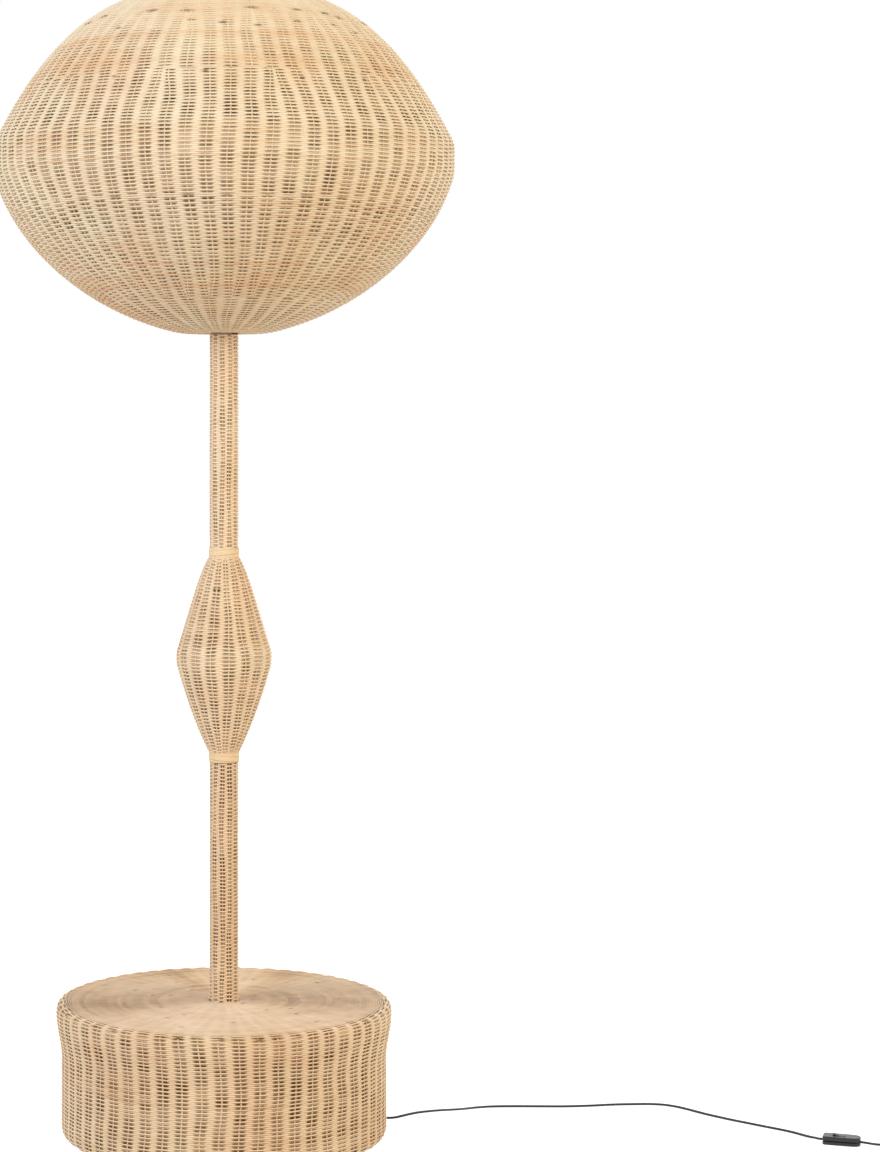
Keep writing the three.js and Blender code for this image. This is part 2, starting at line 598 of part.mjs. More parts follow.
// Tube with the slot where the cord goes in, and the woven column round it
function addColumn() {
  const tube = pipe(tubeBore, TUBE_RADIUS, tubeBottom, TUBE_TOP_HEIGHT, ROUND_SMALL);
  const half = CORD_SLOT_HEIGHT / 2;
  const slot = new THREE.BoxGeometry(TUBE_RADIUS + OVERRUN, CORD_SLOT_WIDTH, 2 * half)
    .translate((TUBE_RADIUS + OVERRUN) / 2, 0, CORD_SLOT_LEVEL)
    .rotateZ(EXIT_TURN);
  piece('pole_tube', cut(tube, slot), steel);

  const sleeve = (name, low, high, radius, material) =>
    piece(name, pipe(sleeveFit, radius, low, high, ROUND_SMALL), material);
  const lowerTop = BULGE_BOTTOM - BINDING_HEIGHT - 2 * CLEARANCE;
  const upperBottom = bulgeTop + BINDING_HEIGHT + 2 * CLEARANCE;
  sleeve('column_weave_lower', baseCollarTop + CLEARANCE, lowerTop, columnRadius, rattan);
  sleeve('bulge_binding_lower', lowerTop + CLEARANCE, BULGE_BOTTOM - CLEARANCE, bindingRadius, rattanPale);
  sleeve('bulge_binding_upper', bulgeTop + CLEARANCE, upperBottom - CLEARANCE, bindingRadius, rattanPale);
  sleeve('column_weave_upper', upperBottom, shadeBottom - CLEARANCE, columnRadius, rattan);
}

// Points of an outline moved in to where a wire frame's rods lie inside the woven wall
const frameLine = (points, rodRadius) => inset(points, WEAVE_WALL + LASHING + rodRadius);
const ribs = (line, count, rodRadius) => turns(count).map((turn) =>
  rod(line.map((p) => around(p.x, turn, p.y)), rodRadius));

// Woven diamond on a hidden wire form: ribs with a hoop at the widest place and a ring at each end
function addBulge() {
  const points = bulgeOutline().getPoints(WOVEN_STEPS);
  piece('bulge_weave', turned(wallProfile(points, WEAVE_WALL), ROUND_MIDDLE, true), rattan);
  const line = frameLine(points.slice(1, -1), BULGE_ROD_RADIUS);
  const widest = line.reduce((most, p) => (p.x > most.x ? p : most));
  const rings = [line[0], line.at(-1)].map(({ x, y }) =>
    pipe(sleeveFit, x + BULGE_ROD_RADIUS, y - BULGE_ROD_RADIUS, y + BULGE_ROD_RADIUS, ROUND_SMALL));
  piece('bulge_frame', join(hoop(widest.x, widest.y, BULGE_ROD_RADIUS, ROUND_MIDDLE), ...rings,
    ...ribs(line, BULGE_RIB_COUNT, BULGE_ROD_RADIUS)), blackSteel);
}

// Woven shade in two walls that meet above the widest band, its rolled border, and the wire frame whose
// ribs run from the mouth's hoop to the spider that the fitter nut clamps
function addShade() {
  const points = shadeOutline().getPoints(WOVEN_STEPS);
  const seam = points.findIndex((p) => p.x === SHADE_RADIUS);
  const raised = points.map((p, i) => new THREE.Vector2(p.x, p.y + (i === seam ? CLEARANCE : 0)));
  piece('shade_weave', turned(wallProfile(points, WEAVE_WALL, seam), ROUND_LARGE, true), rattan);
  piece('shade_dome_weave', turned(wallProfile(raised, WEAVE_WALL, 0, seam), ROUND_LARGE, true), rattan);

  const [edge, next] = points;
  const inner = inset([edge, next], WEAVE_WALL)[0];
  const back = edge.clone().sub(next).setLength(SHADE_BORDER_RADIUS + CLEARANCE);
  const middle = edge.clone().add(inner).multiplyScalar(1 / 2).add(back);
  const border = new THREE.TorusGeometry(middle.x, SHADE_BORDER_RADIUS, BORDER_SIDES, ROUND_LARGE)
    .translate(0, 0, middle.y);
  piece('shade_border', border, rattanPale);

  const mouth = edge.clone().lerp(next, SHADE_ROD_RADIUS / edge.distanceTo(next));
  const line = frameLine([mouth, ...points.slice(1)], SHADE_ROD_RADIUS);
  const belly = line.filter((p, i) => points[i].x === SHADE_RADIUS);
  const hoops = belly.map((p) => hoop(p.x, p.y, SHADE_ROD_RADIUS, ROUND_LARGE));
  hoops.push(hoop(line[0].x, line[0].y, SHADE_ROD_RADIUS, ROUND_LARGE / 2));
  const spider = pipe(NIPPLE_RADIUS + CLEARANCE, TUBE_RADIUS + SPIDER_MARGIN, spiderBottom, spiderTop,
    ROUND_SMALL);
  piece('shade_frame', join(...hoops, spider, ...ribs(line, SHADE_RIB_COUNT, SHADE_ROD_RADIUS)), blackSteel);
}

// Bush in the tube's top, threaded nipple, washer and nut
function addFitter() {
  const bore = NIPPLE_RADIUS + CLEARANCE;
  const plugRadius = tubeBore - CLEARANCE;
  const ledge = TUBE_TOP_HEIGHT + CLEARANCE;
  piece('pole_top_bush', turned([
    [bore, ledge - BUSH_DEPTH], [plugRadius, ledge - BUSH_DEPTH], [plugRadius, ledge],
    [TUBE_RADIUS, ledge], [TUBE_RADIUS, bushTop], [bore, bushTop],
  ], ROUND_SMALL, true), steel);
  piece('threaded_nipple', pipe(NIPPLE_BORE_RADIUS, NIPPLE_RADIUS, bushTop - NIPPLE_DEPTH, nippleTop,
    ROUND_SMALL), brass);
  piece('fitter_washer', pipe(bore, WASHER_RADIUS, washerBottom, washerBottom + WASHER_THICKNESS,
    ROUND_SMALL), steel);
  const nut = puck(NUT_RADIUS, nutBottom, nutBottom + NUT_HEIGHT, HEX_SIDES);
  const nutBore = puck(bore, nutBottom - OVERRUN, nutBottom + NUT_HEIGHT + OVERRUN, ROUND_SMALL);
  piece('fitter_nut', cut(nut, nutBore), steel);
}

// Lampholder: cap, insulator on its ledge, screwed shell, brass sleeve and centre contact
function addHolder() {
  const bore = NIPPLE_RADIUS + CLEARANCE;
  const [outside, inside] = [HOLDER_RADIUS, HOLDER_RADIUS - HOLDER_WALL];
  const ledge = holderBottom + HOLDER_LEDGE_HEIGHT;
  const narrow = inside - HOLDER_LEDGE_WIDTH;
  piece('holder_cap', turned([
    [bore, holderBottom], [outside - HOLDER_FLOOR, holderBottom], [outside, holderBottom + HOLDER_FLOOR],
    [outside, capTop], [inside, capTop], [inside, ledge], [narrow, ledge],
    [narrow, holderBottom + HOLDER_FLOOR], [bore, holderBottom + HOLDER_FLOOR],
  ], ROUND_SMALL, true), blackPlastic);

  const cordHole = NIPPLE_BORE_RADIUS;
  piece('holder_insulator', turned([
    [cordHole, insulatorBottom], [insulatorRadius, insulatorBottom], [insulatorRadius, insulatorTop],
    [0, insulatorTop], [0, cordHoleTop], [cordHole, cordHoleTop],
  ], ROUND_SMALL, true), ceramic);

  const throat = SLEEVE_RADIUS + CLEARANCE;
  const step = insulatorTop + CLEARANCE;
  const bead = HOLDER_SHELL_HEIGHT / 4;
  piece('holder_shell', turned([
    [outside, shellBottom], [outside + HOLDER_RIM_STEP, shellBottom + HOLDER_RIM_STEP],
    [outside + HOLDER_RIM_STEP, shellBottom + bead - HOLDER_RIM_STEP], [outside, shellBottom + bead],
    [outside, shellTop], [throat, shellTop], [throat, step], [inside, step], [inside, shellBottom],
  ], ROUND_SMALL, true), blackPlastic);
  piece('screw_sleeve', pipe(SLEEVE_RADIUS - SLEEVE_WALL, SLEEVE_RADIUS, sleeveBottom,
    sleeveBottom + SLEEVE_HEIGHT, ROUND_SMALL), brass);
  piece('centre_contact', turned([
    [0, insulatorTop + CLEARANCE], [CONTACT_RADIUS, insulatorTop + CLEARANCE],
    [CONTACT_RADIUS / 2, contactTop], [0, contactTop],
  ], ROUND_TINY), brass);
}

// Bulb: a pear-shaped glass, open at its neck, on a screw cap
const BULB_SHARES = [[0.43, 0], [0.47, 0.12], [0.66, 0.3], [0.9, 0.47], [1, 0.63], [0.93, 0.8], [0.7, 0.93],
  [0.36, 0.99]];

function addBulb() {
  piece('bulb_cap', turned([
    [0, bulbBottom], [BULB_TIP_RADIUS, bulbBottom], [bulbCapRadius, bulbBottom + BULB_TIP_HEIGHT],
    [bulbCapRadius, bulbCapTop], [0, bulbCapTop],
  ], ROUND_SMALL), brass);
  const low = bulbCapTop + CLEARANCE;
  const tip = new THREE.Vector2(0, low + BULB_LENGTH);
  const rings = BULB_SHARES.map(([out, up]) => new THREE.Vector2(BULB_RADIUS * out, low + BULB_LENGTH * up));
  const outer = [tip, ...rings.reverse()];
  const inner = inset(outer, BULB_GLASS_WALL).slice(1);
  const top = new THREE.Vector2(0, tip.y - BULB_GLASS_WALL);
  const bottom = inner.pop().setY(low);
  const profile = [...outer, bottom, ...inner.reverse(), top].map((p) => [p.x, p.y]);
  piece('bulb_glass', turned(profile, ROUND_SMALL), glass);
}

// Bushing in the base's wall, the cord inside the base and the tube, and the lead over the floor
const exitPoint = (radius, level = EXIT_HEIGHT) => around(radius, EXIT_TURN, level);

function addCord() {
  const inside = (BASE_RADIUS - WEAVE_WALL) * flatShare - CLEARANCE;
  const outside = BASE_RADIUS * flatShare;
  const bushing = turned([
    [BUSHING_BORE_RADIUS, inside - BUSHING_FLANGE], [BUSHING_FLANGE_RADIUS, inside - BUSHING_FLANGE],
    [BUSHING_FLANGE_RADIUS, inside], [BUSHING_RADIUS, inside], [BUSHING_RADIUS, outside],
    [BUSHING_BORE_RADIUS, outside],
  ], ROUND_TINY, true).rotateY(Math.PI / 2).rotateZ(EXIT_TURN).translate(0, 0, EXIT_HEIGHT);
  piece('cord_bushing', bushing, rubber);

  const rise = INNER_ROUTE_SHARES.map(([out, level]) => exitPoint(BASE_RADIUS * out, level));
  const straight = new THREE.Vector3(0, 0, BASE_HEIGHT);
  const end = new THREE.Vector3(0, 0, cordHoleTop - CLEARANCE);
  const bend = smoothCurve([exitPoint(BASE_RADIUS), ...rise, straight]).getSpacedPoints(INNER_STEPS);
  piece('inner_cord', tubeInPlane([...bend, end], pointedSection()), blackPlastic);

  const lead = [exitPoint(BASE_RADIUS + CLEARANCE), ...LEAD_ROUTE.map((p) => new THREE.Vector3(...p)),
    switchPoint(-CLEARANCE - CORD_WIDTH), switchPoint(-CLEARANCE)];
  piece('cord_lead', cordTube(lead, LEAD_STEPS), blackPlastic);

  const leave = switchPoint(SWITCH_LENGTH + CLEARANCE);
  const tail = TAIL_ROUTE.map((p) => new THREE.Vector3(...p));
  const [meet, before] = [0, -CORD_WIDTH].map((ahead) => coilApproach(ahead - CLEARANCE));
  piece('cord_tail', cordTube([leave, ...tail, before, meet], TAIL_STEPS), blackPlastic);
}

// A point on the switch's long axis, at the height where the cord goes in
function switchPoint(along) {
  return new THREE.Vector3(
    SWITCH_X + along * Math.cos(SWITCH_TURN), SWITCH_Y + along * Math.sin(SWITCH_TURN), SWITCH_BASE_HEIGHT);
}

// Where the coil starts: a point on its straight approach, measured ahead of the coil's first face
function coilApproach(ahead) {
  const start = COIL_HEADING - Math.PI / 2;
  const reach = ahead - COIL_APPROACH;
  return new THREE.Vector3(
    COIL_X + coilOuterRadius * Math.cos(start) + reach * Math.cos(COIL_HEADING),
    COIL_Y + coilOuterRadius * Math.sin(start) + reach * Math.sin(COIL_HEADING),
    (CORD_THICKNESS + CLEARANCE * 2) / 2);
}

// Switch: two half shells, screws from below, and a rocker on a pin
const SWITCH_NOSE_SHARE = 0.45;
const FAR_SCREW_SHARE = 0.79;

function switchOutline(margin = 0) {
  const [half, nose] = [SWITCH_WIDTH / 2 - margin, SWITCH_NOSE_WIDTH / 2 - margin];
  const [start, end, c] = [margin, SWITCH_LENGTH - margin, SWITCH_CORNER];
  const shoulder = SWITCH_LENGTH - SWITCH_NOSE_LENGTH;
  const bend = shoulder + SWITCH_NOSE_LENGTH * SWITCH_NOSE_SHARE * 2;
  return new THREE.Shape()
    .moveTo(start, c - half).lineTo(start + c, -half).lineTo(shoulder, -half)
    .quadraticCurveTo(bend, -half, end, -nose)
    .lineTo(end, nose)
    .quadraticCurveTo(bend, half, shoulder, half)
    .lineTo(start + c, half).lineTo(start, half - c).closePath();
}

function switchShell(low, height) {
  return new THREE.ExtrudeGeometry(switchOutline(SWITCH_EDGE), {
    depth: height - 2 * SWITCH_EDGE, curveSegments: MOULDED_STEPS,
    bevelThickness: SWITCH_EDGE, bevelSize: SWITCH_EDGE, bevelSegments: 1,
  }).translate(0, 0, low + SWITCH_EDGE);
}

const block = (length, width, low, high) =>
  new THREE.BoxGeometry(length, width, high - low).translate(ROCKER_PLACE, 0, (low + high) / 2);

function addSwitch() {
  const group = new THREE.Group();
  group.position.set(SWITCH_X, SWITCH_Y, 0);
  group.rotation.z = SWITCH_TURN;
  lamp.add(group);

  const coverBottom = SWITCH_BASE_HEIGHT + CLEARANCE;
  const [roomLength, roomWidth] = [ROCKER_LENGTH, ROCKER_WIDTH].map((size) => size + 2 * POCKET_MARGIN);
  const [windowLength, windowWidth] = [ROCKER_LENGTH, ROCKER_WIDTH].map((size) => size + ROCKER_WINDOW_GAP);
  const roomTop = switchTop - SWITCH_FLOOR;
  const pivotLevel = switchTop - PIVOT_DROP;
  const pinLength = ROCKER_WIDTH + 2 * POCKET_MARGIN + 2 * PIVOT_GRIP;
  const pin = (radius, length) => new THREE.CylinderGeometry(radius, radius, length, ROUND_TINY)
    .translate(ROCKER_PLACE, 0, pivotLevel);
  const screwPlaces = [SWITCH_SCREW_INSET, SWITCH_LENGTH * FAR_SCREW_SHARE];
  const screw = (room) => turned([
    [0, -room], [SWITCH_SCREW_HEAD_RADIUS + room, -room],
    [SWITCH_SCREW_HEAD_RADIUS + room, SWITCH_SCREW_HEAD_HEIGHT + room],
    [SWITCH_SCREW_RADIUS + room, SWITCH_SCREW_HEAD_HEIGHT + room],
    [SWITCH_SCREW_RADIUS + room, SWITCH_BASE_HEIGHT + SWITCH_SCREW_GRIP + room],
    [0, SWITCH_BASE_HEIGHT + SWITCH_SCREW_GRIP + room],
  ], ROUND_TINY);
  const screwHoles = screwPlaces.map((place) => screw(CLEARANCE).translate(place, 0, CLEARANCE));

  piece('switch_base', cut(switchShell(0, SWITCH_BASE_HEIGHT),
    block(roomLength, roomWidth, SWITCH_FLOOR, SWITCH_BASE_HEIGHT + OVERRUN), ...screwHoles),
  blackPlastic, group);
  piece('switch_cover', cut(switchShell(coverBottom, SWITCH_COVER_HEIGHT),
    block(roomLength, roomWidth, coverBottom - OVERRUN, roomTop),
    block(windowLength, windowWidth, roomTop - OVERRUN, switchTop + OVERRUN),
    pin(PIVOT_RADIUS + CLEARANCE, pinLength + 2 * CLEARANCE), ...screwHoles), blackPlastic, group);
  screwPlaces.forEach((place, i) => {
    piece(`switch_screw_${i + 1}`, screw(0), steel, group).position.set(place, 0, CLEARANCE);
  });
  piece('rocker_pin', pin(PIVOT_RADIUS, pinLength), steel, group);

  const [half, top] = [ROCKER_LENGTH / 2, PIVOT_DROP + ROCKER_RISE];
  const under = PIVOT_DROP - ROCKER_DEPTH;
  const side = new THREE.Shape()
    .moveTo(-half, top).quadraticCurveTo(0, top - 2 * ROCKER_DIP, half, top)
    .lineTo(half, PIVOT_RADIUS).lineTo(half / 2, under).lineTo(-half / 2, under).lineTo(-half, PIVOT_RADIUS)
    .closePath();
  const body = new THREE.ExtrudeGeometry(side, {
    depth: ROCKER_WIDTH, curveSegments: MOULDED_STEPS, bevelEnabled: false,
  }).translate(0, 0, -ROCKER_WIDTH / 2).rotateX(Math.PI / 2);
  const bore = new THREE.CylinderGeometry(PIVOT_RADIUS + CLEARANCE, PIVOT_RADIUS + CLEARANCE,
    ROCKER_WIDTH + 2 * OVERRUN, ROUND_TINY);
  const rocker = piece('switch_rocker', cut(body, bore), blackPlastic, group);
  rocker.position.set(ROCKER_PLACE, 0, pivotLevel);
  rocker.rotation.y = ROCKER_TILT;
}

// Path of the coil: a straight approach, a spiral in on the lower layer, a half turn that climbs while the
// spiral reverses, a spiral out on the upper layer, and a straight run to the plug. Each step holds the
// cord's middle, its direction, and its roll: none where the cord lies flat and a quarter turn on edge.
const smooth = (share) => {
  const t = THREE.MathUtils.clamp(share, 0, 1);
  return t * t * (3 - 2 * t);
};
const TWIST_START_SHARE = 0.15;
const TWIST_END_SHARE = 0.85;
const twist = (share) => smooth((share - TWIST_START_SHARE) / (TWIST_END_SHARE - TWIST_START_SHARE));

function coilSteps() {
  const steps = [];
  const [start, total] = [COIL_HEADING - Math.PI / 2, 2 * Math.PI * (COIL_TURNS_IN + COIL_TURNS_OUT)];
  const reversal = 2 * Math.PI * COIL_TURNS_IN;
  const radiusAt = (turn) => COIL_INNER_RADIUS + COIL_PITCH * Math.abs(reversal - turn) / (2 * Math.PI);
  const levelAt = (turn) => coilLow + COIL_LAYER * smooth((turn - reversal) / Math.PI + 1 / 2);
  const straight = (foot, heading, reach) =>
    foot.clone().add(new THREE.Vector3(Math.cos(heading), Math.sin(heading), 0).multiplyScalar(reach));
  const up = new THREE.Vector3(0, 0, 1);
  const add = (at, heading, roll) => {
    const side = new THREE.Vector3(-Math.sin(heading), Math.cos(heading), 0);
    const angle = roll * Math.PI / 2;
    steps.push({ at, wide: side.multiplyScalar(Math.cos(angle)).addScaledVector(up, Math.sin(angle)) });
  };

  const foot = around(radiusAt(0), start, 0);
  const lying = coilApproach(0).z;
  const approachShares = [0, CORD_WIDTH / COIL_APPROACH, 0.25, 0.4, 0.55, 0.7, 0.85];
  for (const share of approachShares) {
    const at = straight(foot, COIL_HEADING, COIL_APPROACH * (share - 1));
    add(at.setZ(lying + (coilLow - lying) * twist(share)), COIL_HEADING, twist(share));
  }
  const count = Math.round(COIL_STEPS * (COIL_TURNS_IN + COIL_TURNS_OUT));
  for (let i = 0; i <= count; i += 1) {
    const turn = total * i / count;
    add(around(radiusAt(turn), start + turn, levelAt(turn)), start + turn + Math.PI / 2, 1);
  }
  const [last, heading] = [around(radiusAt(total), start + total, 0), start + total + Math.PI / 2];
  const exitShares = [0.25, 0.45, 0.62, 1 - CORD_WIDTH / COIL_EXIT, 1];
  for (const share of exitShares) {
    const at = straight(last, heading, COIL_EXIT * share);
    add(at.setZ(coilHigh + (PLUG_THICKNESS / 2 - coilHigh) * twist(share)), heading, 1 - twist(share));
  }
  return { steps, end: steps.at(-1).at.clone(), heading };
}

// Least distance between points on the faces of stretches that are more than half a turn apart
function leastGap(rings) {
  const apart = Math.round(COIL_STEPS / 2);
  const between = 4;
  const skins = rings.map((ring) => ring.flatMap((p, j) =>
    Array.from({ length: between }, (_, k) => p.clone().lerp(ring[(j + 1) % ring.length], k / between))));
  let least = Infinity;
  for (let i = 0; i < skins.length; i += 1) {
    for (let j = i + apart; j < skins.length; j += 1) {
      if (rings[i][0].distanceTo(rings[j][0]) > 2 * stroke + COIL_PITCH) continue;
      for (const p of skins[i]) for (const q of skins[j]) least = Math.min(least, p.distanceTo(q));
    }
  }
  return least;
}

function addCoil() {
  const { steps, end, heading } = coilSteps();
  const rings = sweepRings(steps, pointedSection());
  const coil = new THREE.Group();
  coil.position.set(COIL_X, COIL_Y, 0);
  lamp.add(coil);
  piece('cord_coil', sweep(rings), blackPlastic, coil);
  const wound = steps.slice(1).reduce((sum, { at }, i) => sum + at.distanceTo(steps[i].at), 0);
  console.log(`coil: least gap ${leastGap(rings).toFixed(2)} mm, ${wound.toFixed(0)} mm of cord`);

  const [low, high] = [COIL_INNER_RADIUS - CORD_THICKNESS, coilOuterRadius + CORD_THICKNESS];
  const top = coilHigh + CORD_WIDTH / 2 + CLEARANCE + TIE_THICKNESS;
  const tie = roundedFrame(low, 0, high, top, TIE_CORNER);
  const hole = roundedFrame(low + TIE_THICKNESS, TIE_THICKNESS, high - TIE_THICKNESS, top - TIE_THICKNESS,
    TIE_CORNER - TIE_THICKNESS);
  tie.holes.push(hole);
  const band = new THREE.ExtrudeGeometry(tie, { depth: TIE_WIDTH, curveSegments: 2, bevelEnabled: false })
    .translate(0, 0, -TIE_WIDTH / 2).rotateX(Math.PI / 2);
  piece('coil_tie', band, rubber, coil).rotation.z = TIE_TURN;
  addPlug(coil, end, heading);
}

function roundedFrame(x0, y0, x1, y1, c) {
  return new THREE.Shape()
    .moveTo(x0 + c, y0).lineTo(x1 - c, y0).quadraticCurveTo(x1, y0, x1, y0 + c)
    .lineTo(x1, y1 - c).quadraticCurveTo(x1, y1, x1 - c, y1)
    .lineTo(x0 + c, y1).quadraticCurveTo(x0, y1, x0, y1 - c)
    .lineTo(x0, y0 + c).quadraticCurveTo(x0, y0, x0 + c, y0);
}

// Plug: a flat moulded body that runs into its strain relief, and two round pins
function addPlug(coil, end, heading) {
  const group = new THREE.Group();
  group.position.set(end.x + CLEARANCE * Math.cos(heading), end.y + CLEARANCE * Math.sin(heading), 0);
  group.rotation.z = heading;
  coil.add(group);

  const middle = PLUG_THICKNESS / 2;
  const [rear, front] = [PLUG_REAR_WIDTH / 2 - PLUG_EDGE, PLUG_WIDTH / 2 - PLUG_EDGE];
  const [from, to] = [RELIEF_LENGTH + PLUG_EDGE, RELIEF_LENGTH + PLUG_LENGTH - PLUG_EDGE];
  const waist = (from + to) / 2;
  const outline = new THREE.Shape()
    .moveTo(from, -rear).quadraticCurveTo(waist, -rear, waist, -front).lineTo(to, -front)
    .lineTo(to, front).lineTo(waist, front).quadraticCurveTo(waist, rear, from, rear).closePath();
  const shell = new THREE.ExtrudeGeometry(outline, {
    depth: PLUG_THICKNESS - 2 * PLUG_EDGE, curveSegments: MOULDED_STEPS,
    bevelThickness: PLUG_EDGE, bevelSize: PLUG_EDGE, bevelSegments: 2,
  }).translate(0, 0, PLUG_EDGE);
  const reliefLength = RELIEF_LENGTH + 2 * PLUG_EDGE;
  const relief = new THREE.CylinderGeometry(RELIEF_FRONT_RADIUS, RELIEF_REAR_RADIUS, reliefLength, ROUND_TINY)
    .rotateZ(-Math.PI / 2).translate(reliefLength / 2, 0, middle);
  const face = RELIEF_LENGTH + PLUG_LENGTH;
  const sides = [-PIN_SPACING / 2, PIN_SPACING / 2];
  const pin = (radius, from, to, y) => new THREE.CylinderGeometry(radius, radius, to - from, ROUND_TINY)
    .rotateZ(-Math.PI / 2).translate((from + to) / 2, y, middle);
  const boreFoot = face - PIN_DEPTH - CLEARANCE;
  const bores = sides.map((y) => pin(PIN_RADIUS + CLEARANCE, boreFoot, face + OVERRUN, y));
  piece('plug_body', cut(join(shell, relief), ...bores), blackPlastic, group);
  sides.forEach((y, i) => {
    piece(`plug_pin_${i + 1}`, pin(PIN_RADIUS, face - PIN_DEPTH, face + PIN_REACH, y), brass, group);
  });
}

addBase();
addBallast();
addBaseFrame();
addColumn();
addBulge();
addShade();
addFitter();
addHolder();
addBulb();
addCord();
addSwitch();
addCoil();

export default lamp;
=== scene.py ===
"""Looks of a woven rattan floor lamp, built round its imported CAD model.

Each stretch of the weave is one spiral of strand, a tube that runs over and under an odd count of stakes.
Lengths are in metres, +Z up, with the origin on the floor on the lamp's axis.
"""
import logging
import math
from dataclasses import dataclass, field
from enum import Enum
from typing import Callable, Sequence

import bpy
import numpy as np
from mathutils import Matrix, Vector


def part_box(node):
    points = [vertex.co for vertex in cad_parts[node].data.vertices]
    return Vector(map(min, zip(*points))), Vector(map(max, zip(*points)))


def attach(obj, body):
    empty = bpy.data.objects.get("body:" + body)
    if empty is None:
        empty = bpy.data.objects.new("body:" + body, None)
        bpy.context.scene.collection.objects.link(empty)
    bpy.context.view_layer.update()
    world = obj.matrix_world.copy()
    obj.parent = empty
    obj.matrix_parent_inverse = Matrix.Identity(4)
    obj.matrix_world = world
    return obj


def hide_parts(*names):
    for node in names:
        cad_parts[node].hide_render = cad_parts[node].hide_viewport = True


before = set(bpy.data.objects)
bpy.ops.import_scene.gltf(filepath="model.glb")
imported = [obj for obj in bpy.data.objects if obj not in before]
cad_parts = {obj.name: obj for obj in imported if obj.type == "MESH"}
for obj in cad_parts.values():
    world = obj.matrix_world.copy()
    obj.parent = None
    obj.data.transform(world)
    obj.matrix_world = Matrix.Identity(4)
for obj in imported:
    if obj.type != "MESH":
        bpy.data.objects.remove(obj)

LOG = logging.getLogger("rattan_lamp")
MM = 0.001
TAU = 2 * math.pi
SIDES = 5
WALL_SHARE = 0.99
CAP_LEVEL = 0.995
CAP_RADIUS = 0.004
MOST_TRIANGLES = 190_000
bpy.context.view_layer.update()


# Meshes

def to_array(values: Sequence) -> np.ndarray:
    """Returns the values as an array of floats."""
    return np.asarray(values, dtype=np.float64)


def ease(share: np.ndarray) -> np.ndarray:
    """A smooth step: t^2 (3 - 2 t) of the share held between 0 and 1."""
    t = np.clip(share, 0, 1)
    return t * t * (3 - 2 * t)


def signed_volume(points: np.ndarray, quads: np.ndarray) -> float:
    """Volume inside a closed mesh: the sum over its triangles of a . (b x c), over six.

    Args:
        points: Places of the vertices, one row each.
        quads: Corners of each four-sided face.

    Returns:
        The volume, below zero where the faces point inwards.
    """
    a, b, c, d = (points[quads[:, k]] for k in range(4))
    return float(np.einsum("ij,ij->i", a, np.cross(b, c) + np.cross(c, d)).sum() / 6)


def circle(angle: np.ndarray) -> np.ndarray:
    """Points (cos a, sin a), one row for each angle."""
    return np.stack([np.cos(angle), np.sin(angle)], axis=1)


def running_length(line: np.ndarray) -> np.ndarray:
    """Distance from the line's first point to each of its points, along the line."""
    return np.concatenate([[0], np.cumsum(np.linalg.norm(np.diff(line, axis=0), axis=1))])


def strand_marks(length: np.ndarray, tone: np.ndarray | float, corners: int = SIDES) -> np.ndarray:
    """What a strand's finish reads at each corner: distance along it, share of the way round, and tone.

    Args:
        length: Distance of each ring along the strand.
        tone: Tone of each ring, or one for all.
        corners: Corners of each ring.

    Returns:
        One row for each corner.
    """
    around = np.tile(np.arange(corners) / corners, len(length))
    tones = np.repeat(np.broadcast_to(tone, len(length)), corners)
    return np.stack([np.repeat(length, corners), around, tones], axis=1)


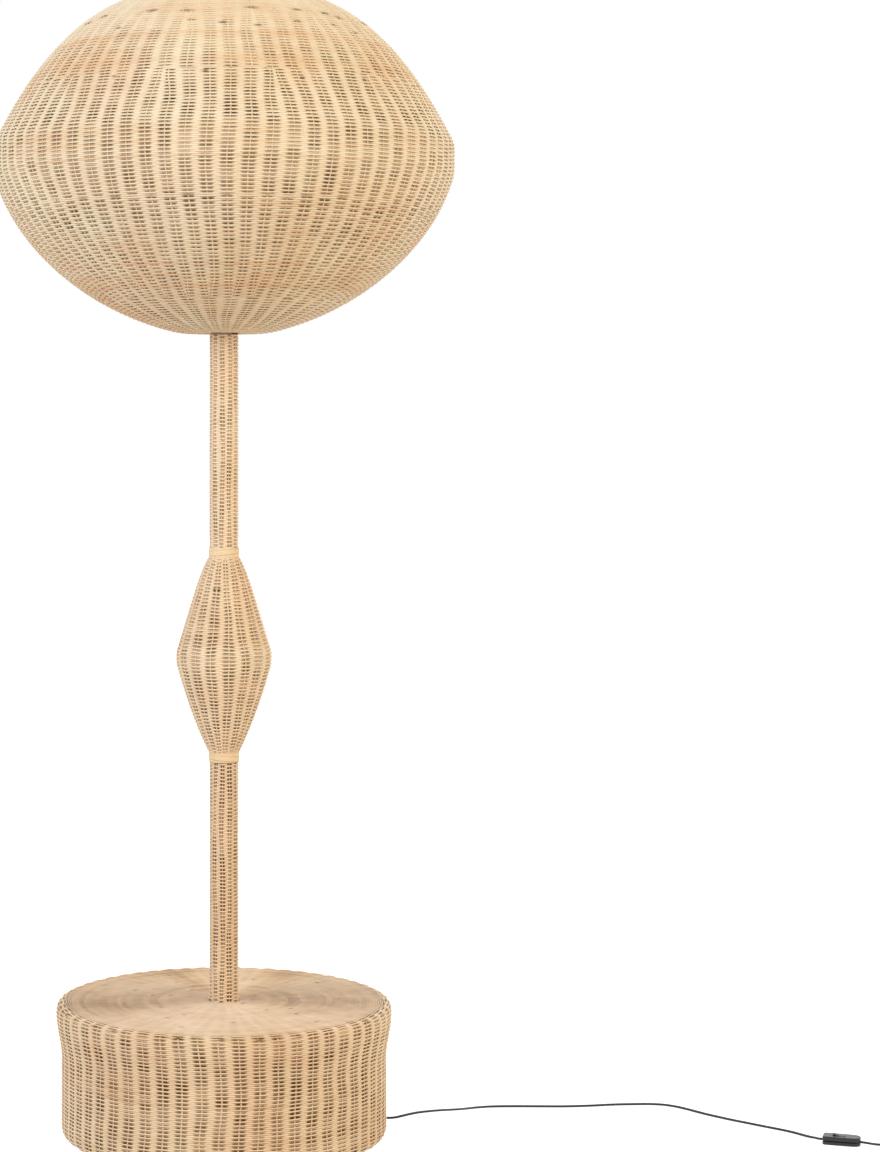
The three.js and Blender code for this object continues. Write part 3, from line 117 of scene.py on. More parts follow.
@dataclass
class MeshParts:
    """A mesh as arrays: vertices, quads, end caps and what the vertices and corners carry."""

    points: np.ndarray
    quads: np.ndarray
    caps: list[np.ndarray] = field(default_factory=list)
    strand: np.ndarray | None = None
    recess: np.ndarray | None = None
    corner_uv: np.ndarray | None = None

    def build(self, name: str) -> bpy.types.Object:
        """Makes the object, with its faces outwards and shaded smoothly.

        Args:
            name: The object's name.

        Returns:
            The object, linked to the scene, at the origin.
        """
        quads, caps, corner_uv = self.quads, self.caps, self.corner_uv
        if signed_volume(self.points, quads) < 0:
            quads = quads[:, ::-1]
            caps = [cap[::-1] for cap in caps]
            if corner_uv is not None:
                corner_uv = corner_uv[:, ::-1]
        mesh = bpy.data.meshes.new(name)
        mesh.vertices.add(len(self.points))
        mesh.vertices.foreach_set("co", self.points.astype(np.float32).ravel())
        loops = np.concatenate([quads.ravel(), *caps]).astype(np.int32)
        sizes = np.concatenate([np.full(len(quads), 4), [len(cap) for cap in caps]]).astype(np.int32)
        mesh.loops.add(len(loops))
        mesh.loops.foreach_set("vertex_index", loops)
        mesh.polygons.add(len(sizes))
        starts = np.concatenate([[0], np.cumsum(sizes)[:-1]]).astype(np.int32)
        mesh.polygons.foreach_set("loop_start", starts)
        mesh.polygons.foreach_set("use_smooth", np.full(len(sizes), True))
        mesh.update(calc_edges=True)
        for label, kind, key, values in (("strand", "FLOAT_VECTOR", "vector", self.strand),
                                         ("recess", "FLOAT", "value", self.recess)):
            if values is not None:
                layer = mesh.attributes.new(label, kind, "POINT")
                layer.data.foreach_set(key, values.astype(np.float32).ravel())
        if corner_uv is not None:
            self._write_uv(mesh, corner_uv, caps)
        mesh.validate(clean_customdata=False)
        made = bpy.data.objects.new(name, mesh)
        bpy.context.scene.collection.objects.link(made)
        return made

    @staticmethod
    def _write_uv(mesh: bpy.types.Mesh, corner_uv: np.ndarray, caps: list[np.ndarray]) -> None:
        """Writes the UV map named OFBake: the walls' corners, then each cap as a small round.

        Args:
            mesh: The mesh that gets the map.
            corner_uv: Places of each quad's four corners on the map, below WALL_SHARE.
            caps: Corners of each end cap.
        """
        rounds = []
        for place, cap in enumerate(caps):
            middle = to_array([(place + 0.5) / max(len(caps), 2), CAP_LEVEL])
            rounds.append(middle + CAP_RADIUS * circle(TAU * np.arange(len(cap)) / len(cap)))
        flat = np.concatenate([corner_uv.reshape(-1, 2), *rounds])
        layer = mesh.uv_layers.new(name="OFBake")
        layer.data.foreach_set("uv", flat.astype(np.float32).ravel())


@dataclass
class TubePath:
    """Rings of one section carried along a path."""

    middle: np.ndarray
    out: np.ndarray
    side: np.ndarray
    half_out: np.ndarray
    half_side: np.ndarray

    def ring_points(self, section: np.ndarray | None = None) -> np.ndarray:
        """Each ring is middle + out * half_out * u + side * half_side * v, over the corners (u, v).

        Args:
            section: Corners (u, v) of the section, or None for a regular polygon.

        Returns:
            An array of rings by corners by three.
        """
        if section is None:
            section = circle(TAU * np.arange(SIDES) / SIDES)
        u = section[None, :, 0, None] * self.half_out[:, None, None] * self.out[:, None, :]
        v = section[None, :, 1, None] * self.half_side[:, None, None] * self.side[:, None, :]
        return self.middle[:, None, :] + u + v

    def parts(self, section: np.ndarray | None = None, closed: bool = False) -> MeshParts:
        """Joins neighbouring rings with quads and closes the two ends, or the loop.

        Args:
            section: Corners of the section, or None for a regular polygon.
            closed: Whether the last ring joins the first.

        Returns:
            The mesh's arrays.
        """
        rings = self.ring_points(section)
        count, sides = rings.shape[:2]
        spans = count if closed else count - 1
        i, j = np.meshgrid(np.arange(spans), np.arange(sides), indexing="ij")
        after, beside = (i + 1) % count, (j + 1) % sides
        corners = (i * sides + j, after * sides + j, after * sides + beside, i * sides + beside)
        quads = np.stack(corners, axis=-1)
        caps = [] if closed else [np.arange(sides)[::-1], (count - 1) * sides + np.arange(sides)]
        parts = MeshParts(rings.reshape(-1, 3), quads.reshape(-1, 4))
        if signed_volume(parts.points, parts.quads) < 0:
            parts.quads = parts.quads[:, ::-1]
            caps = [cap[::-1] for cap in caps]
        parts.caps = [cap if self._faces_on(parts, cap, end) else cap[::-1]
                      for cap, end in zip(caps, (-1, 1))]
        return parts

    def _faces_on(self, parts: MeshParts, cap: np.ndarray, end: int) -> bool:
        """Whether a cap looks away from the tube: its normal . the path's way has the end's sign.

        Args:
            parts: The mesh's arrays.
            cap: The cap's corners.
            end: -1 for the first cap, 1 for the last.

        Returns:
            True where it does.
        """
        corner = parts.points[cap[:3]]
        normal = np.cross(corner[1] - corner[0], corner[2] - corner[0])
        first = self.middle[1] - self.middle[0] if end < 0 else self.middle[-1] - self.middle[-2]
        return float(normal @ first) * end > 0


def dress(piece: bpy.types.Object, material: bpy.types.Material, slot: str, *replaced: str,
          body: str = "lamp") -> bpy.types.Object:
    """Gives a piece its finish, the body that it rides on and the CAD nodes that it stands for.

    Args:
        piece: The piece.
        material: Its finish.
        slot: Name of a material slot; not used.
        *replaced: Names of the CAD nodes that it replaces.
        body: The body that it rides on.

    Returns:
        The piece.
    """
    piece.data.materials.clear()
    piece.data.materials.append(material)
    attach(piece, body)
    if replaced:
        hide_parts(*replaced)
    LOG.info("%s: %d faces", piece.name, len(piece.data.polygons))
    return piece


# Outlines

def quadratic(a: Sequence[float], b: Sequence[float], c: Sequence[float], steps: int = 30) -> np.ndarray:
    """A curve with one handle, (1-t)^2 a + 2 t (1-t) b + t^2 c, less its first point."""
    t = np.linspace(0, 1, steps + 1)[1:, None]
    return (1 - t) ** 2 * to_array(a) + 2 * t * (1 - t) * to_array(b) + t ** 2 * to_array(c)


def cubic(a: Sequence[float], b: Sequence[float], c: Sequence[float], d: Sequence[float],
          steps: int = 120) -> np.ndarray:
    """A curve with two handles, (1-t)^3 a + 3 t (1-t)^2 b + 3 t^2 (1-t) c + t^3 d, less its first point."""
    t = np.linspace(0, 1, steps + 1)[1:, None]
    return ((1 - t) ** 3 * to_array(a) + 3 * t * (1 - t) ** 2 * to_array(b)
            + 3 * t ** 2 * (1 - t) * to_array(c) + t ** 3 * to_array(d))


class Outline:
    """A woven form's outer outline: radius and height by the distance from its top round the outside."""

    def __init__(self, points: np.ndarray, spacing: float = 0.5 * MM, soften: float = 8 * MM) -> None:
        """Spreads points evenly along the outline and smooths the places and normals.

        Args:
            points: Corners (radius, height) in metres.
            spacing: Distance between the points that are kept.
            soften: Distance over which places and normals are averaged, so that corners turn gently.
        """
        points = to_array(points)
        along = np.concatenate([[0], np.cumsum(np.hypot(*np.diff(points, axis=0).T))])
        self.length = float(along[-1])
        self.at = np.linspace(0, self.length, int(self.length / spacing) + 2)
        reach = max(int(soften / spacing), 1)
        blur = np.hanning(2 * reach + 3)
        blur /= blur.sum()

        def average(values: np.ndarray) -> np.ndarray:
            """Returns the values blurred, each end turned over beyond itself so that it stays in place."""
            padded = np.pad(values, reach + 1, mode="reflect", reflect_type="odd")
            return np.convolve(padded, blur, "valid")

        self.radius = average(np.interp(self.at, along, points[:, 0]))
        self.height = average(np.interp(self.at, along, points[:, 1]))
        step_r, step_z = average(np.gradient(self.radius)), average(np.gradient(self.height))
        size = np.hypot(step_r, step_z)
        self.down = np.stack([step_r / size, step_z / size], axis=1)
        self.out = np.stack([-self.down[:, 1], self.down[:, 0]], axis=1)

    def look_up(self, along: np.ndarray) -> tuple[np.ndarray, ...]:
        """Radius, height, outward normal and downward direction at each distance along the outline."""
        pick = lambda values: np.interp(along, self.at, values)
        return (pick(self.radius), pick(self.height), pick(self.out[:, 0]), pick(self.out[:, 1]),
                pick(self.down[:, 0]), pick(self.down[:, 1]))

    def place(self, turn: np.ndarray, along: np.ndarray, depth: np.ndarray) -> tuple[np.ndarray, ...]:
        """Points below the surface, each at the surface's point - depth * outward normal.

        Args:
            turn: Angle round the axis.
            along: Distance along the outline.
            depth: Distance below the surface.

        Returns:
            The points, the outward normals, and the directions down the outline.
        """
        radius, height, out_r, out_z, down_r, down_z = self.look_up(along)
        cos, sin = np.cos(turn), np.sin(turn)
        out = np.stack([out_r * cos, out_r * sin, out_z], axis=1)
        down = np.stack([down_r * cos, down_r * sin, down_z], axis=1)
        return np.stack([radius * cos, radius * sin, height], axis=1) - depth[:, None] * out, out, down

    def where(self, test: Callable[[np.ndarray, np.ndarray], np.ndarray]) -> float:
        """Returns the first distance along the outline whose (radius, height) passes the test."""
        return float(self.at[int(np.argmax(test(self.radius, self.height)))])


# Weave

@dataclass(frozen=True)
class Unevenness:
    """Slow waves over a woven surface, as a hand leaves them: a sum of cos(k turn + q along + phase)."""

    seed: int
    height: float
    waves: int = 14
    longest: float = 160 * MM
    shortest: float = 26 * MM
    round_waves: int = 9

    def read(self, turn: np.ndarray, along: np.ndarray) -> np.ndarray:
        """Value of the waves at each angle and distance; each wave is as high as it is long.

        Args:
            turn: Angle round the axis.
            along: Distance along the outline.

        Returns:
            Values of about plus or minus height.
        """
        pick = np.random.default_rng(self.seed)
        lengths = self.longest * (self.shortest / self.longest) ** pick.random(self.waves)
        rounds = pick.integers(-self.round_waves, self.round_waves + 1, self.waves)
        phases = pick.random(self.waves) * TAU
        shares = lengths / np.sqrt((lengths ** 2).sum())
        total = np.zeros(np.broadcast(turn, along).shape)
        for length, k, phase, share in zip(lengths, rounds, phases, shares):
            total += share * np.cos(k * turn + TAU * along / length + phase)
        return self.height * total


@dataclass(frozen=True)
class Gap:
    """A small gap, such as where a stake is let in: the rows are pushed apart, and painted shade makes it
    look dark.
    """

    turn: float
    along: float
    half_width: float = 3.4 * MM
    half_height: float = 3.0 * MM
    spread: float = 0.5
    # dark is the strength of the painted shade that stands for the hole's shadow
    dark: float = 1.0

    def read(self, turn: np.ndarray, along: np.ndarray, radius: float) -> tuple[np.ndarray, np.ndarray]:
        """How far each row moves, spread * half_height * u exp(-u^2) * near, and how much painted shade it
        gets.

        Args:
            turn: Angle round the axis.
            along: Distance along the outline.
            radius: The gap's distance from the axis.

        Returns:
            The moves and the painted shade, with u the distance across the rows in half heights, and near =
            exp(-v^2) with v the distance along the rows in half widths.
        """
        apart = (turn - self.turn + math.pi) % TAU - math.pi
        near = np.exp(-(apart * radius / self.half_width) ** 2)
        u = (along - self.along) / self.half_height
        move = self.spread * self.half_height * u * np.exp(-u ** 2) * near
        return move, self.dark * np.exp(-2 * u ** 2) * near


def gap_ring(along: float, count: int, seed: int, shift: float, missing: float, **sizes: float
             ) -> tuple[Gap, ...]:
    """Gaps round a woven form, each up to 0.3 of a place off and with painted shade 1.2 to 2.2 dark, with
    some missing.

    Args:
        along: Distance of the ring along the outline.
        count: Places round the ring.
        seed: Seed of the draws.
        shift: How far a gap may lie from the ring.
        missing: Share of the places without a gap.
        **sizes: Fields of each gap.

    Returns:
        The gaps.
    """
    draw = np.random.default_rng(seed)
    turns = (np.arange(count) + draw.uniform(-0.3, 0.3, count)) * TAU / count
    offs, shade_marks = draw.uniform(-shift, shift, count), draw.uniform(1.2, 2.2, count)
    kept = draw.random(count)
    return tuple(Gap(float(turn), along + float(off), dark=float(hole_shade), **sizes)
                 for turn, off, hole_shade, keep in zip(turns, offs, shade_marks, kept) if keep > missing)


@dataclass
class Weave:
    """A stretch of plain weave: one spiral of strand, over and under an odd count of stakes."""

    name: str
    outline: Outline
    stakes: int
    start: float
    end: float
    pitch: float = 2.4 * MM
    half_over: float = 1.2 * MM
    half_cross: float = 1.75 * MM
    half_behind: float = 2.3 * MM
    half_thick: float = 1.1 * MM
    thin_cross: float = 0.55
    half_stake: float = 1.15 * MM
    deepest: float = 1.5 * MM
    swing_share: float = 0.13
    swing_least: float = 0.15 * MM
    near: float = 0.22
    stripe: float = 0.22
    cross: float = 0.34
    # dark scales the painted shade in the recesses
    dark: float = 1.0
    sink: float = 0.0
    seed: int = 1
    surface: int = 1
    wander: float = 0.07
    uneven: float = 0.6 * MM
    slack_step: float = 10 * MM
    # groove is painted shade along the strand's sides, in the creases between rows
    groove: float = 0.05
    gaps: tuple[Gap, ...] = ()
    calm: tuple[tuple[float, float], ...] = ((0.0, 1.0),)
    # The next three tables: tone shift by angle round the axis, used as painted light and shade; darker tone
    # along the outline, as painted shade; and the strength of the painted shade by angle
    tones: tuple[tuple[float, float], ...] = ((0.0, 0.0),)
    painted_shade_along: tuple[tuple[float, float], ...] = ((0.0, 0.0),)
    shade_marks: tuple[tuple[float, float], ...] = ((0.0, 1.0),)
    above: int = 0
    below: int = 0
    merge: float = 50 * MM
    gather: float = 0.55
    run_length: float = 2.2
    run_table: int = 4096
    stake_step: float = 9 * MM
    stake_start: float | None = None
    stake_end: float | None = None

    def __post_init__(self) -> None:
        """Counts whole turns, so that stretches meet, and places the samples of each stake in half waves."""
        self.turns = max(round((self.end - self.start) / self.pitch), 1)
        self.places = (0.0, self.near, 0.5 - self.stripe / 2, 0.5 + self.stripe / 2, 1 - self.near, 1.0)
        self.shares = to_array([-self.near, *self.places[:4]])
        self.per_turn = self.stakes * len(self.shares)
        self.rows = Unevenness(self.surface, self.uneven)
        self.lean = Unevenness(self.surface + 100, self.wander, 12, 420 * MM, 50 * MM)
        rows = int(self.outline.length / self.slack_step) + 3
        draw = np.random.default_rng(self.seed + 31)
        self.slack = np.clip(draw.normal(0.48, 0.4, (self.stakes, rows)), 0, 1.15)

    def amplitude(self, radius: np.ndarray, along: np.ndarray) -> np.ndarray:
        """Swing to each side: min(deepest, swing_share * spacing + swing_least) times the calm share.

        Args:
            radius: Distance from the axis, which gives the stakes' spacing.
            along: Distance along the outline, where the calm table is read.

        Returns:
            The swings.
        """
        apart = TAU * np.maximum(radius, 1 * MM) / self.stakes
        swing = np.minimum(self.deepest, self.swing_share * apart + self.swing_least)
        return swing * np.interp(along, *zip(*self.calm))

    def turn_at(self, wave: np.ndarray, along: np.ndarray) -> np.ndarray:
        """Angle round the axis: even stakes that wander, and split or meet where the next stretch has fewer.

        Args:
            wave: Half waves since the first stake; a whole number is a stake.
            along: Distance along the outline.

        Returns:
            The angles.
        """
        even = TAU * wave / self.stakes
        turn = even + self.lean.read(even, along) * TAU / self.stakes
        for fewer, edge in ((self.above, self.start), (self.below, self.end)):
            if fewer:
                share = 1 - ease(np.abs(along - edge) / self.merge)
                turn = turn + (self._pulled(wave, fewer) - even) * share
        return turn

    def _pulled(self, wave: np.ndarray, fewer: int) -> np.ndarray:
        """Angle where stakes gather on fewer: TAU / fewer * ((1 - gather) x + gather * the whole nearest x).

        Here x = k * fewer / stakes.

        Args:
            wave: Half waves since the first stake, with k the whole ones.
            fewer: Count of the stakes on which they gather.

        Returns:
            The angles, in a straight line from each stake to the next.
        """
        count, ratio = np.floor(wave), fewer / self.stakes
        places = [(1 - self.gather) * k * ratio + self.gather * np.round(k * ratio)
                  for k in (count, count + 1)]
        return TAU / fewer * (places[0] + (places[1] - places[0]) * (wave - count))

    def slack_at(self, wave: np.ndarray, along: np.ndarray) -> np.ndarray:
        """How slack the rows are at the nearest stake: its table of values, eased from one to the next.

        Args:
            wave: Half waves since the first stake.
            along: Distance along the outline.

        Returns:
            Values from 0, pressed tight, to about 1.
        """
        stake = np.round(wave).astype(int) % self.stakes
        place = along / self.slack_step
        low = np.floor(place).astype(int)
        share = ease(place - low)
        return self.slack[stake, low] * (1 - share) + self.slack[stake, low + 1] * share

    def pieces(self) -> list[MeshParts]:
        """The spiral as tubes of fewer than MOST_TRIANGLES triangles each.

        Returns:
            The arrays of each piece.
        """
        total = self.turns * self.per_turn
        count = math.ceil(total / (MOST_TRIANGLES // (SIDES * 2)))
        cuts = np.linspace(0, total, count + 1).astype(int)
        return [self._stretch(first, last, total) for first, last in zip(cuts[:-1], cuts[1:])]

    def _stretch(self, first: int, last: int, total: int) -> MeshParts:
        """One stretch of the spiral, from one sample to another.

        The angle grows by one stake a half wave, and the distance along the outline by one pitch a turn, plus
        the unevenness and the gaps. With an odd count of stakes, each row is half a wave from its neighbours.
        The strand's face is flush over a stake, drops by 2 * swing behind the next, and keeps one level in
        the stripe between them, where rows lie close and flat.

        Args:
            first: Index of its first sample.
            last: Index of its last sample.
            total: Samples of the whole spiral.

        Returns:
            The stretch's arrays.
        """
        index = np.arange(first, last + 1)
        samples = len(self.shares)
        wave = index // samples + self.shares[index % samples]
        angle = TAU * wave / self.stakes
        even = self.start + (self.end - self.start) * wave * samples / total
        turn = self.turn_at(wave, even)
        along, hole_shade = even + self.rows.read(angle, even), np.zeros(len(index))
        # Each gap adds painted shade where its hole would lie in shadow
        for gap in self.gaps:
            reach = float(np.interp(gap.along, self.outline.at, self.outline.radius))
            move, dark = gap.read(turn, even, reach)
            along, hole_shade = along + move, hole_shade + dark
        along = np.clip(along, 0.5 * MM, self.outline.length - 0.5 * MM)
        radius = self.outline.look_up(along)[0]
        slack = self.slack_at(wave, even)
        swing = self.amplitude(radius, along)
        hidden = np.abs((wave + 1) % 2 - 1)
        between = lambda *levels: np.interp(hidden, self.places, levels)
        behind = between(0.0, 0.06, self.cross, self.cross + 0.04, 0.92, 1.0)
        thin = between(1.0, 1.0, self.thin_cross, self.thin_cross, 0.9, 0.9)
        broad = between(*np.repeat([self.half_over, self.half_cross, self.half_behind], 2))
        run = self._runs(angle, radius)
        thick = 1 + 0.07 * (run - 0.5)
        drop = 2 * swing * (0.84 + 0.2 * slack) * behind
        depth = self.sink + drop + self.half_thick * thin
        middle, out, down = self.outline.place(turn, along, depth)
        parts = TubePath(middle, out, down, self.half_thick * thin * thick, broad * thick).parts()
        # The tone shifts by angle and along the outline are painted light and shade
        tone = run + np.interp(turn % TAU, *zip(*self.tones), period=TAU)
        tone = np.clip(tone + np.interp(even, *zip(*self.painted_shade_along)), -0.5, 1.8)
        parts.strand = strand_marks(running_length(middle) + self.seed, tone)
        # Painted shade: the strand darkens where it drops behind a stake, more where the rows are slack, and
        # along its sides in the creases between rows
        painted_shade_strength = (0.1 + 1.1 * slack) * self.dark
        deep = between(0, 0, 0, 0.05, 1, 1) * swing / self.deepest * painted_shade_strength
        deep = deep * np.interp(turn % TAU, *zip(*self.shade_marks), period=TAU)
        groove = np.tile([0.0] + [self.groove] * (SIDES - 1), len(index))
        parts.recess = np.clip(np.repeat(deep + hole_shade, SIDES) + groove, 0, 1.3)
        parts.corner_uv = self._map(index, first, last)
        return parts

    def _runs(self, angle: np.ndarray, radius: np.ndarray) -> np.ndarray:
        """A tone from 0 to 1 for each run of cane, run_length long, drawn from a seeded table.

        Args:
            angle: Angle of each sample.
            radius: Its distance from the axis.

        Returns:
            The tones.
        """
        reach = np.concatenate([[0], np.cumsum(np.diff(angle) * radius[1:])])
        draw = np.random.default_rng(self.seed + 7)
        table = np.clip(draw.normal(0.5, 0.16, self.run_table), 0, 1)
        number = ((reach + float(angle[0]) * float(radius[0])) / self.run_length).astype(int) % len(table)
        return table[number]

    def _map(self, index: np.ndarray, first: int, last: int) -> np.ndarray:
        """Places on the bake's map: a turn runs across, and turns and sides are stacked as strips.

        Args:
            index: Index of each ring.
            first: Index of the first sample.
            last: Index of the last one.

        Returns:
            Corners of each quad on the map.
        """
        i, j = np.meshgrid(index[:-1], np.arange(SIDES), indexing="ij")
        turn = i // self.per_turn - first // self.per_turn
        rows = (last // self.per_turn - first // self.per_turn + 1) * SIDES
        left = (i % self.per_turn) / self.per_turn
        right = left + 1 / self.per_turn
        low = (turn * SIDES + j) / rows * WALL_SHARE
        high = (turn * SIDES + j + 1) / rows * WALL_SHARE
        corners = np.stack([np.stack([left, low], -1), np.stack([right, low], -1),
                            np.stack([right, high], -1), np.stack([left, high], -1)], axis=2)
        return corners.reshape(-1, 4, 2)

    def stake_parts(self) -> MeshParts:
        """The stakes as rods in the middle of the wall, along the outline, each wandering with the weave.

        Returns:
            The arrays of all the rods.
        """
        start = self.start if self.stake_start is None else self.stake_start
        end = self.end if self.stake_end is None else self.stake_end
        steps = max(int((end - start) / self.stake_step), 6)
        along = np.linspace(start, end, steps + 1)
        radius = self.outline.look_up(along)[0]
        depth = self.sink + self.half_thick + self.amplitude(radius, along)
        half = np.minimum(self.half_stake, 0.42 * TAU * radius / self.stakes)
        rods = []
        for number in range(self.stakes):
            turn = self.turn_at(np.full_like(along, number), along)
            side = np.stack([-np.sin(turn), np.cos(turn), np.zeros_like(turn)], axis=1)
            middle, out, _ = self.outline.place(turn, along, depth)
            parts = TubePath(middle, out, side, half, half).parts()
            parts.strand = strand_marks(along + number, (number * 0.618) % 1.0)
            # Painted shade on the stakes, which lie deep in the wall
            parts.recess = np.full(len(parts.points), 0.35)
            rods.append(parts)
        return merge(rods)


def merge(all_parts: Sequence[MeshParts]) -> MeshParts:
    """Several meshes as one, each with its corners' numbers moved on.

    Args:
        all_parts: The meshes' arrays.

    Returns:
        The arrays of the whole, with no map.
    """
    starts = np.cumsum([0] + [len(p.points) for p in all_parts])
    whole = MeshParts(np.concatenate([p.points for p in all_parts]),
                      np.concatenate([p.quads + s for p, s in zip(all_parts, starts)]))
    whole.caps = [cap + s for p, s in zip(all_parts, starts) for cap in p.caps]
    if all_parts[0].strand is not None:
        whole.strand = np.concatenate([p.strand for p in all_parts])
        whole.recess = np.concatenate([p.recess for p in all_parts])
    return whole


# Shaders

class Kind(Enum):
    """Kinds of plain finish that the carried-over CAD pieces take."""

    METAL = "metal"
    MOULDED = "moulded"
    RUBBER = "rubber"
    WOOD = "wood"
    GLAZED = "glazed"


def new_group(name: str, inputs: Sequence[tuple[str, str, float]], outputs: Sequence[tuple[str, str]]
              ) -> bpy.types.ShaderNodeTree:
    """An empty shader group with its sockets.

    Args:
        name: The group's name.
        inputs: Name, socket type and starting value of each input.
        outputs: Name and socket type of each output.

    Returns:
        The group.
    """
    group = bpy.data.node_groups.new(name, "ShaderNodeTree")
    for label, kind, start in inputs:
        socket = group.interface.new_socket(name=label, in_out="INPUT", socket_type=kind)
        if kind == "NodeSocketFloat":
            socket.default_value = start
    for label, kind in outputs:
        group.interface.new_socket(name=label, in_out="OUTPUT", socket_type=kind)
    return group


class Canvas:
    """Adds nodes to a tree and joins them, with a node's inputs given by name or place."""

    def __init__(self, tree: bpy.types.NodeTree) -> None:
        """Keeps the tree that it draws in."""
        self.tree = tree

    def fill(self, node: bpy.types.Node, inputs: dict) -> None:
        """Gives a node's inputs their values, or joins them to other nodes' outputs.

        Args:
            node: The node.
            inputs: Values or sockets by input name or number.
        """
        for label, value in inputs.items():
            if isinstance(value, bpy.types.NodeSocket):
                self.tree.links.new(value, node.inputs[label])
            else:
                node.inputs[label].default_value = value

    def add(self, kind: str, inputs: dict | None = None, **settings: object) -> bpy.types.Node:
        """Adds a node.

        Args:
            kind: The node's type.
            inputs: Values or sockets by input name or number.
            **settings: Attributes of the node.

        Returns:
            The node.
        """
        node = self.tree.nodes.new(kind)
        for label, value in settings.items():
            setattr(node, label, value)
        self.fill(node, inputs or {})
        return node

    def maths(self, operation: str, *values: object) -> bpy.types.NodeSocket:
        """Adds a Math node and returns its output."""
        return self.add("ShaderNodeMath", dict(enumerate(values)), operation=operation).outputs[0]

    def blend(self, share: object, first: object, second: object, mode: str = "MIX") -> bpy.types.NodeSocket:
        """Adds a colour Mix node, whose inputs 0, 6 and 7 are share and colours, and returns its colour."""
        node = self.add("ShaderNodeMix", {0: share, 6: first, 7: second}, data_type="RGBA", blend_type=mode)
        return node.outputs[2]

    def seen(self) -> bpy.types.NodeSocket:
        """1 for rays from the camera, also by way of a reflection or through glass, and 0 for light."""
        rays = self.add("ShaderNodeLightPath").outputs
        return self.maths("MAXIMUM", rays["Is Camera Ray"],
                          self.maths("MAXIMUM", rays["Is Glossy Ray"], rays["Is Transmission Ray"]))


def colour(red: int, green: int, blue: int) -> tuple[float, float, float, float]:
    """A colour from its screen values, 0 to 255, in linear light."""
    def linear(value: int) -> float:
        """Returns the linear value of one channel."""
        share = value / 255
        return share / 12.92 if share <= 0.04045 else ((share + 0.055) / 1.055) ** 2.4
    return linear(red), linear(green), linear(blue), 1.0


class Effects:
    """Shader groups that several finishes share."""

    def __init__(self) -> None:
        """Builds each group once."""
        self.fibre = self._fibre()
        self.patches = self._patches()

    @staticmethod
    def _fibre() -> bpy.types.ShaderNodeTree:
        """Fine lengthwise fibres, and darker flecks, from the strand's own measures.

        Returns:
            A group with a height and a fleck mask, both from 0 to 1.
        """
        number = "NodeSocketFloat"
        group = new_group("Cane fibre", [("Strand", "NodeSocketVector", 0), ("Length", number, 90.0),
                                         ("Fleck Size", number, 26.0)],
                          [("Fibre", number), ("Fleck", number)])
        draw = Canvas(group)
        inside = draw.add("NodeGroupInput")
        split = draw.add("ShaderNodeSeparateXYZ", {0: inside.outputs["Strand"]})
        along = draw.maths("MULTIPLY", split.outputs[0], inside.outputs["Length"])
        around = draw.maths("MULTIPLY", draw.maths("PINGPONG", split.outputs[1], 0.5), 22.0)
        apart = draw.maths("MULTIPLY", split.outputs[2], 53.0)
        place = draw.add("ShaderNodeCombineXYZ", {0: along, 1: around, 2: apart})
        fine = draw.add("ShaderNodeTexNoise", {"Vector": place.outputs[0], "Scale": 1.0, "Detail": 3.0,
                                               "Roughness": 0.6})
        spot = draw.add("ShaderNodeCombineXYZ",
                        {0: draw.maths("MULTIPLY", split.outputs[0], inside.outputs["Fleck Size"]),
                         1: draw.maths("MULTIPLY", split.outputs[1], 1.6), 2: apart})
        coarse = draw.add("ShaderNodeTexNoise", {"Vector": spot.outputs[0], "Scale": 1.0, "Detail": 2.0,
                                                 "Roughness": 0.5})
        fleck = draw.add("ShaderNodeMapRange",
                         {"Value": coarse.outputs[0], "From Min": 0.6, "From Max": 0.78})
        draw.add("NodeGroupOutput", {"Fibre": fine.outputs[0], "Fleck": fleck.outputs[0]})
        return group

    @staticmethod
    def _patches() -> bpy.types.ShaderNodeTree:
        """Slow change over an object, from Object coordinates.

        Returns:
            A group with one mask from 0 to 1.
        """
        number = "NodeSocketFloat"
        group = new_group("Slow patches", [("Scale", number, 8.0), ("Contrast", number, 1.0)],
                          [("Mask", number)])
        draw = Canvas(group)
        inside = draw.add("NodeGroupInput")
        place = draw.add("ShaderNodeTexCoord")
        noise = draw.add("ShaderNodeTexNoise", {"Vector": place.outputs["Object"],
                                                "Scale": inside.outputs["Scale"], "Detail": 3.0})
        centred = draw.maths("SUBTRACT", noise.outputs[0], 0.5)
        mask = draw.maths("ADD", draw.maths("MULTIPLY", centred, inside.outputs["Contrast"]), 0.5)
        clamped = draw.add("ShaderNodeClamp", {"Value": mask})
        draw.add("NodeGroupOutput", {"Mask": clamped.outputs[0]})
        return group

    @staticmethod
    def place(draw: Canvas, group: bpy.types.ShaderNodeTree, inputs: dict) -> bpy.types.Node:
        """Adds one of the groups to a material, with its own values."""
        return draw.add("ShaderNodeGroup", inputs, node_tree=group)


def blank_material(name: str) -> tuple[bpy.types.Material, Canvas, bpy.types.Node]:
    """A material with a Principled shader and nothing else.

    Args:
        name: The material's name.

    Returns:
        The material, a canvas on its nodes, and the shader.
    """
    material = bpy.data.materials.new(name)
    material.use_nodes = True
    material.node_tree.nodes.clear()
    draw = Canvas(material.node_tree)
    shader = draw.add("ShaderNodeBsdfPrincipled")
    draw.add("ShaderNodeOutputMaterial", {"Surface": shader.outputs[0]})
    return material, draw, shader


